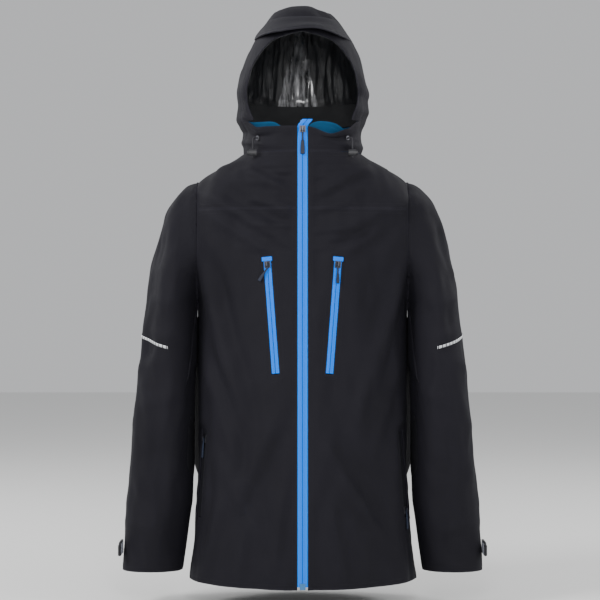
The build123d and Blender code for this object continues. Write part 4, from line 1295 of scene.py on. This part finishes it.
dark_plate = hard("dark_plated_metal", (0.022, 0.023, 0.030), (0.20, 0.20, 0.22), 0.36, metal=1.0,
                  wear=0.8)
blue_acetal = hard("blue_acetal", (0.012, 0.110, 0.300), (0.05, 0.20, 0.42), 0.3)


def dress(name, material):
    """A CAD piece whose shape is right keeps it and takes a better material."""
    piece = frame["nodes"][name]
    piece.data.materials.clear()
    piece.data.materials.append(material)


for name in ("main_zip_slider", "chest_zip_slider_left", "chest_zip_slider_right",
             "hand_zip_slider_left", "hand_zip_slider_right", "skirt_snap_studs", "hood_eyelets"):
    dress(name, dark_plate)
dress("main_zip_stops", blue_acetal)


# ---------------------------------------------------------------------------------------------
# Pulls: a wire loop through the slider's bridge, a short navy cord, and a soft grip moulded over
# the ends of the cord with ribs for gloved fingers.

navy_grip = hard("navy_moulded_grip", (0.004, 0.010, 0.030), (0.02, 0.04, 0.09), 0.55, scale=1400.0,
                 wear=0.5)


def zip_pull(name, length, lean):
    """A pull in the zip's own frame, hanging from the middle of the bridge's window."""
    wire_radius, cord_radius, cord_shift, hang, grip_thickness = 0.00065, 0.00085, 0.00075, 0.0068, 0.0032
    select_only()
    bpy.ops.mesh.primitive_torus_add(major_segments=32, minor_segments=10, major_radius=0.0024,
                                     minor_radius=wire_radius)
    pieces = [bpy.context.object]
    edit_all()
    bpy.ops.transform.resize(value=(1, 1.6, 1), center_override=(0, 0, 0))
    bpy.ops.transform.translate(value=(0, -0.0036, 0))
    end_edit()
    for shift in (-cord_shift, cord_shift):
        select_only()
        bpy.ops.mesh.primitive_cylinder_add(vertices=14, radius=cord_radius, depth=0.5 * length,
                                            rotation=(radians(90), 0, 0),
                                            location=(shift, -0.25 * length, 0))
        set_in_mesh()
        pieces.append(bpy.context.object)
    grip_length = 0.6 * length
    grip = block((0, -0.65 * length, 0), (0.20 * length, grip_length, grip_thickness), 0.0011, 3)
    points = points_of(grip)
    down = (-points[:, 1] - 0.35 * length) / grip_length
    points[:, 0] *= 0.72 + 0.28 * step_between(down, 0.05, 0.55)
    ribs = (down > 0.45) & (down < 0.92)
    points[:, 2] *= 1 - 0.22 * ribs * (np.sin(down * 2 * pi * 9) > 0)
    put_points(grip, points)
    modifier(grip, "SUBSURF", levels=1, render_levels=1)
    pieces.append(grip)
    for piece in pieces[1:]:
        piece.data.transform(Matrix.Rotation(radians(lean), 4, "Z"))
        piece.data.transform(Matrix.Translation((0, -hang, 0)))
    pull = joined(pieces[0], *pieces[1:])
    pull.name = name
    settle(pull, zip_frame(name.replace("jacket_", "").replace("_pull", "")))
    smooth(pull, 45)
    return pull


for zip_name, length, lean in (
    ("main_zip", 0.040, 0), ("chest_zip_left", 0.028, 4), ("chest_zip_right", 0.028, -38),
    ("hand_zip_left", 0.028, 0), ("hand_zip_right", 0.028, 0),
):
    kind, _, name = zip_name.partition("_zip")
    pull = zip_pull(f"jacket_{kind}_zip{name}_pull", length, lean)
    finish(pull, navy_grip, "pull_grip", f"{kind}_pull{name}", f"{kind}_zip_pull{name}")


# ---------------------------------------------------------------------------------------------
# Hand pocket welts: a narrow strip of shell cloth, folded double and sewn down behind each
# hand zip, that hides the zip from the front.

welt_near, welt_far = 0.0082, 0.0188
for name, side in SIDES:
    low, high = zip_reach["hand_zip_" + name]
    welt = flat_strip("jacket_hand_pocket_welt_" + name, (welt_near, welt_far),
                      (low - 0.005, high + 0.005), 10, 50)
    points = points_of(welt)
    share = (points[:, 0] - welt_near) / (welt_far - welt_near)
    points[:, 2] = -0.0008 + 0.0012 * np.sin(share * pi) + 0.0003 * np.sin(points[:, 1] * 180)
    points[:, 0] *= side
    put_points(welt, points)
    if side < 0:
        turn_inside_out(welt)
    settle(welt, zip_frame("hand_zip_" + name))
    sew(welt, 0.0010, sink=0.0)
    finish(welt, shell_cloth, "shell_fabric", "torso", "hand_pocket_welt_" + name)


# ---------------------------------------------------------------------------------------------
# Reflective piping: a flat cord covered in silver glass-bead tape, printed in dashes, let into
# the elbow seam on the outside of each sleeve.

silver, tree, shader = new_material("silver_reflective_tape")
place = node(tree, "ShaderNodeTexCoord").outputs["Object"]
dash_pitch = 0.0085
dash = maths(tree, "FRACT", times(tree, stored(tree, "along"), 1 / dash_pitch))
dash = maths(tree, "GREATER_THAN", dash, 0.24)
fade = noise_at(tree, place, 300.0, 3.0)
dash = times(tree, dash, plus(tree, times(tree, fade, 0.5), 0.62))
colour = mixed_colour(tree, dash, (0.02, 0.02, 0.024), (0.72, 0.73, 0.75))
tree.links.new(colour, shader.inputs["Base Color"])
tree.links.new(times(tree, dash, 0.35), shader.inputs["Metallic"])
shader.inputs["Roughness"].default_value = 0.42
emboss(tree, shader, noise_at(tree, place, 2600.0, 2.0), 0.0002)

half_width, length = 0.0022, 0.095
for name, side in SIDES:
    source = bpy.data.objects["jacket_sleeve_" + name]
    strip = flat_strip("jacket_reflective_strip_" + name, (-half_width, half_width), (0.0, length), 6, 60)
    points = points_of(strip)
    store(strip, "along", points[:, 1] + points[:, 1] ** 2 * 3.0)
    bulge = 0.0011 * (1 - (points[:, 0] / half_width) ** 2)
    for i, (u, v, _) in enumerate(points):
        turn = radians(-2 - 92 * v / length)
        centre = Vector((side * 0.2415, 0.0, -0.3175 - 0.0205 * (1 - cos(turn)) + u))
        ray = Vector((side * cos(turn), sin(turn), 0))
        hit, spot, _, _ = source.ray_cast(centre + ray * 0.15, -ray)
        spot = spot if hit else centre + ray * 0.06
        points[i] = spot + ray * (0.0004 + bulge[i])
    put_points(strip, points)
    choose(strip, lambda c: True)
    bpy.ops.mesh.normals_make_consistent(inside=False)
    if side > 0:
        bpy.ops.mesh.flip_normals()
    end_edit()
    modifier(strip, "SOLIDIFY", thickness=0.0008, offset=0)
    smooth(strip, 60)
    finish(strip, silver, "reflective", "sleeve_" + name, "reflective_strip_" + name)


# ---------------------------------------------------------------------------------------------
# Cuff tabs: a flexible moulded tab with a ribbed end, backed with hook tape, that closes onto a
# patch of loop tape on the outside of the wrist.

tab_rubber = hard("moulded_cuff_tab", (0.020, 0.020, 0.024), (0.05, 0.05, 0.055), 0.5, scale=1200.0,
                  wear=0.5)
fuzzy = cloth("loop_tape", (0.011, 0.011, 0.013), 0.95, sheen=0.5, threads=600.0, creases=2.2, stitches=0.8)
for name, side in SIDES:
    low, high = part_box("cuff_tab_" + name)
    middle = (low + high) / 2
    tab = block(middle, high - low, cuts=19)
    tab.name = "jacket_cuff_tab_" + name
    points = points_of(tab)
    forward = (high.y - points[:, 1]) / (high.y - low.y)
    half = (high.z - low.z) / 2
    taper = 1 - 0.30 * step_between(forward, 0.70, 1.0) - 0.12 * (1 - step_between(forward, 0.0, 0.2))
    points[:, 2] = middle.z + (points[:, 2] - middle.z) * taper
    outer = side * (points[:, 0] - middle.x) > 0
    ribs = (forward > 0.62) & (forward < 0.92) & (np.abs(points[:, 2] - middle.z) < half * 0.62)
    rib_depth, ribs_per_tab = 0.0005, 16
    points[:, 0] -= side * outer * ribs * rib_depth * (np.sin(forward * 2 * pi * ribs_per_tab) > 0)
    frame_line = (np.abs(np.abs(points[:, 2] - middle.z) - half * 0.80) < half * 0.07) & outer
    points[:, 0] -= side * frame_line * 0.0003
    put_points(tab, points)
    modifier(tab, "BEVEL", width=0.0006, segments=2, limit_method="ANGLE", angle_limit=radians(50))
    smooth(tab, 40)
    finish(tab, tab_rubber, "cuff_tab", "cuff_tab_" + name, "cuff_tab_" + name)

    low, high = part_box("cuff_loop_patch_" + name)
    middle = (low + high) / 2
    patch = block(middle, high - low, cuts=15)
    patch.name = "jacket_cuff_loop_patch_" + name
    points = points_of(patch)
    pile = rumple(points, (0.0011, 0.0011, 0.0011), 41.0)
    points[:, 0] += side * 0.0002 * pile * (side * (points[:, 0] - middle.x) > 0)
    put_points(patch, points)
    smooth(patch, 60)
    finish(patch, fuzzy, "hook_loop", "sleeve_" + name, "cuff_loop_patch_" + name)


# ---------------------------------------------------------------------------------------------
# Powder skirt: a stretch band inside the waist that keeps snow out, edged with grip elastic.
# Two snaps at the back link it to ski trousers.

skirt_cloth = cloth("powder_skirt_cloth", (0.013, 0.013, 0.015), 0.6, threads=1100.0, creases=1.4)
grip_elastic = cloth("grip_elastic", (0.018, 0.018, 0.020), 0.45, threads=500.0, creases=0.4, coat=0.3)
low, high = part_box("powder_skirt")
for label, shrink, top, gap, thick, wave_height, material, slot, target in (
    ("jacket_powder_skirt", 0.0, high.z, 0.006, 0.0011, 0.0022, skirt_cloth, "powder_fabric",
     "powder_skirt"),
    ("jacket_skirt_grip_tape", 0.0017, low.z + 0.020, 0.008, 0.0007, 0.0, grip_elastic, "grip_tape",
     "skirt_grip_tape"),
):
    skirt_rings = []
    for share in (0.0, 0.25, 0.5, 0.75, 1.0):
        z = low.z + (high.z - low.z) * share
        wide = np.interp(share, (0, 0.5, 1), (0.1604, 0.1632, 0.1683)) - shrink
        deep = np.interp(share, (0, 0.5, 1), (0.1155, 0.1188, 0.1225)) - shrink
        skirt_rings.append((z, wide, deep, 0.0, np.interp(share, (0, 0.5, 1), (0.0002, 0.0008, 0.0018))))
    skirt = ring_tube(label, skirt_rings, around=72, steps=2)
    if top < high.z:
        cut(skirt, (0, 0, top), (0, 0, 1))
    for side in (1, -1):
        cut(skirt, (side * gap, 0, 0), (1, 0, 0), lambda c: abs(c.x) < 0.03 and c.y < 0)
    keep(skirt, label, lambda c: c.z < top and not (abs(c.x) < gap and c.y < 0))
    points, normals = points_of(skirt), normals_of(skirt)
    turn = np.arctan2(points[:, 1], points[:, 0])
    height = (points[:, 2] - low.z) / (high.z - low.z)
    waves = np.sin(turn * 26) * (1 - step_between(height, 0.8, 1.0)) - 1
    waves *= wave_height * step_between(height, 0.25, 0.6)
    put_points(skirt, points + normals * waves[:, None])
    sew(skirt, thick, sink=0.0)
    finish(skirt, material, slot, "torso", target)


# ---------------------------------------------------------------------------------------------
# Hanger loop: a folded length of woven tape, sewn at both ends inside the back of the neck.

tape_cloth = cloth("woven_tape", (0.010, 0.010, 0.012), 0.7, threads=900.0, creases=0.5)
low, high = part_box("hanger_loop")
loop = flat_strip("jacket_hanger_loop", (low.x, high.x), (low.z, high.z), 80, 6)
points = points_of(loop)
share = np.abs(points[:, 0]) / high.x
bow = low.y + 0.0006 + (high.y - low.y - 0.0016) * step_between(share, 0.66, 0.86)
put_points(loop, np.column_stack([points[:, 0], bow, points[:, 1]]))
sew(loop, 0.0010, sink=0.0)
finish(loop, tape_cloth, "hanger_tape", "torso", "hanger_loop")


# ---------------------------------------------------------------------------------------------
# Hood adjusters: a braided cord comes out of a plated eyelet on each side of the collar and runs
# through a moulded lock with a sprung button.

lock_nylon = hard("moulded_nylon", (0.007, 0.007, 0.009), (0.05, 0.05, 0.055), 0.4, scale=1000.0, wear=0.5)
braid = cloth("braided_cord", (0.011, 0.011, 0.014), 0.7, threads=750.0, creases=0.6, stitches=0.0,
              depth=0.0006)
for name in ("hood_lock_barrels", "hood_lock_button_left", "hood_lock_button_right"):
    dress(name, lock_nylon)
lock_low, lock_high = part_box("hood_lock_barrels")
eye_low, eye_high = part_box("hood_eyelets")
lock_radius, cord_radius = 0.0065, 0.00125
y, z = (lock_low.y + lock_high.y) / 2, (lock_low.z + lock_high.z) / 2
eye_z = (eye_low.z + eye_high.z) / 2
routes = []
for side in (1, -1):
    x = lock_high.x - lock_radius if side > 0 else lock_low.x + lock_radius
    start = Vector((x - side * 0.0086, y + 0.0110, eye_z))
    corner = Vector((x, y + 0.002, eye_z))
    wire = bpy.data.curves.new("cord", "CURVE")
    wire.dimensions = "3D"
    wire.bevel_depth = cord_radius
    wire.bevel_resolution = 4
    wire.use_fill_caps = True
    line = wire.splines.new("NURBS")
    stops = (start, start.lerp(corner, 0.6), corner + Vector((0, 0, -0.001)), Vector((x, y, z + 0.0095)),
             Vector((x, y, z)), Vector((x, y, z - 0.0092)))
    line.points.add(len(stops) - 1)
    for point, stop in zip(line.points, stops):
        point.co = (*stop, 1)
    line.order_u = 3
    line.use_endpoint_u = True
    made = bpy.data.objects.new("cord", wire)
    bpy.context.scene.collection.objects.link(made)
    select_only(made)
    bpy.ops.object.convert(target="MESH")
    routes.append(bpy.context.object)
cords = joined(*routes)
cords.name = "jacket_hood_drawcords"
smooth(cords, 60)
finish(cords, braid, "cord", "torso", "hood_drawcords")
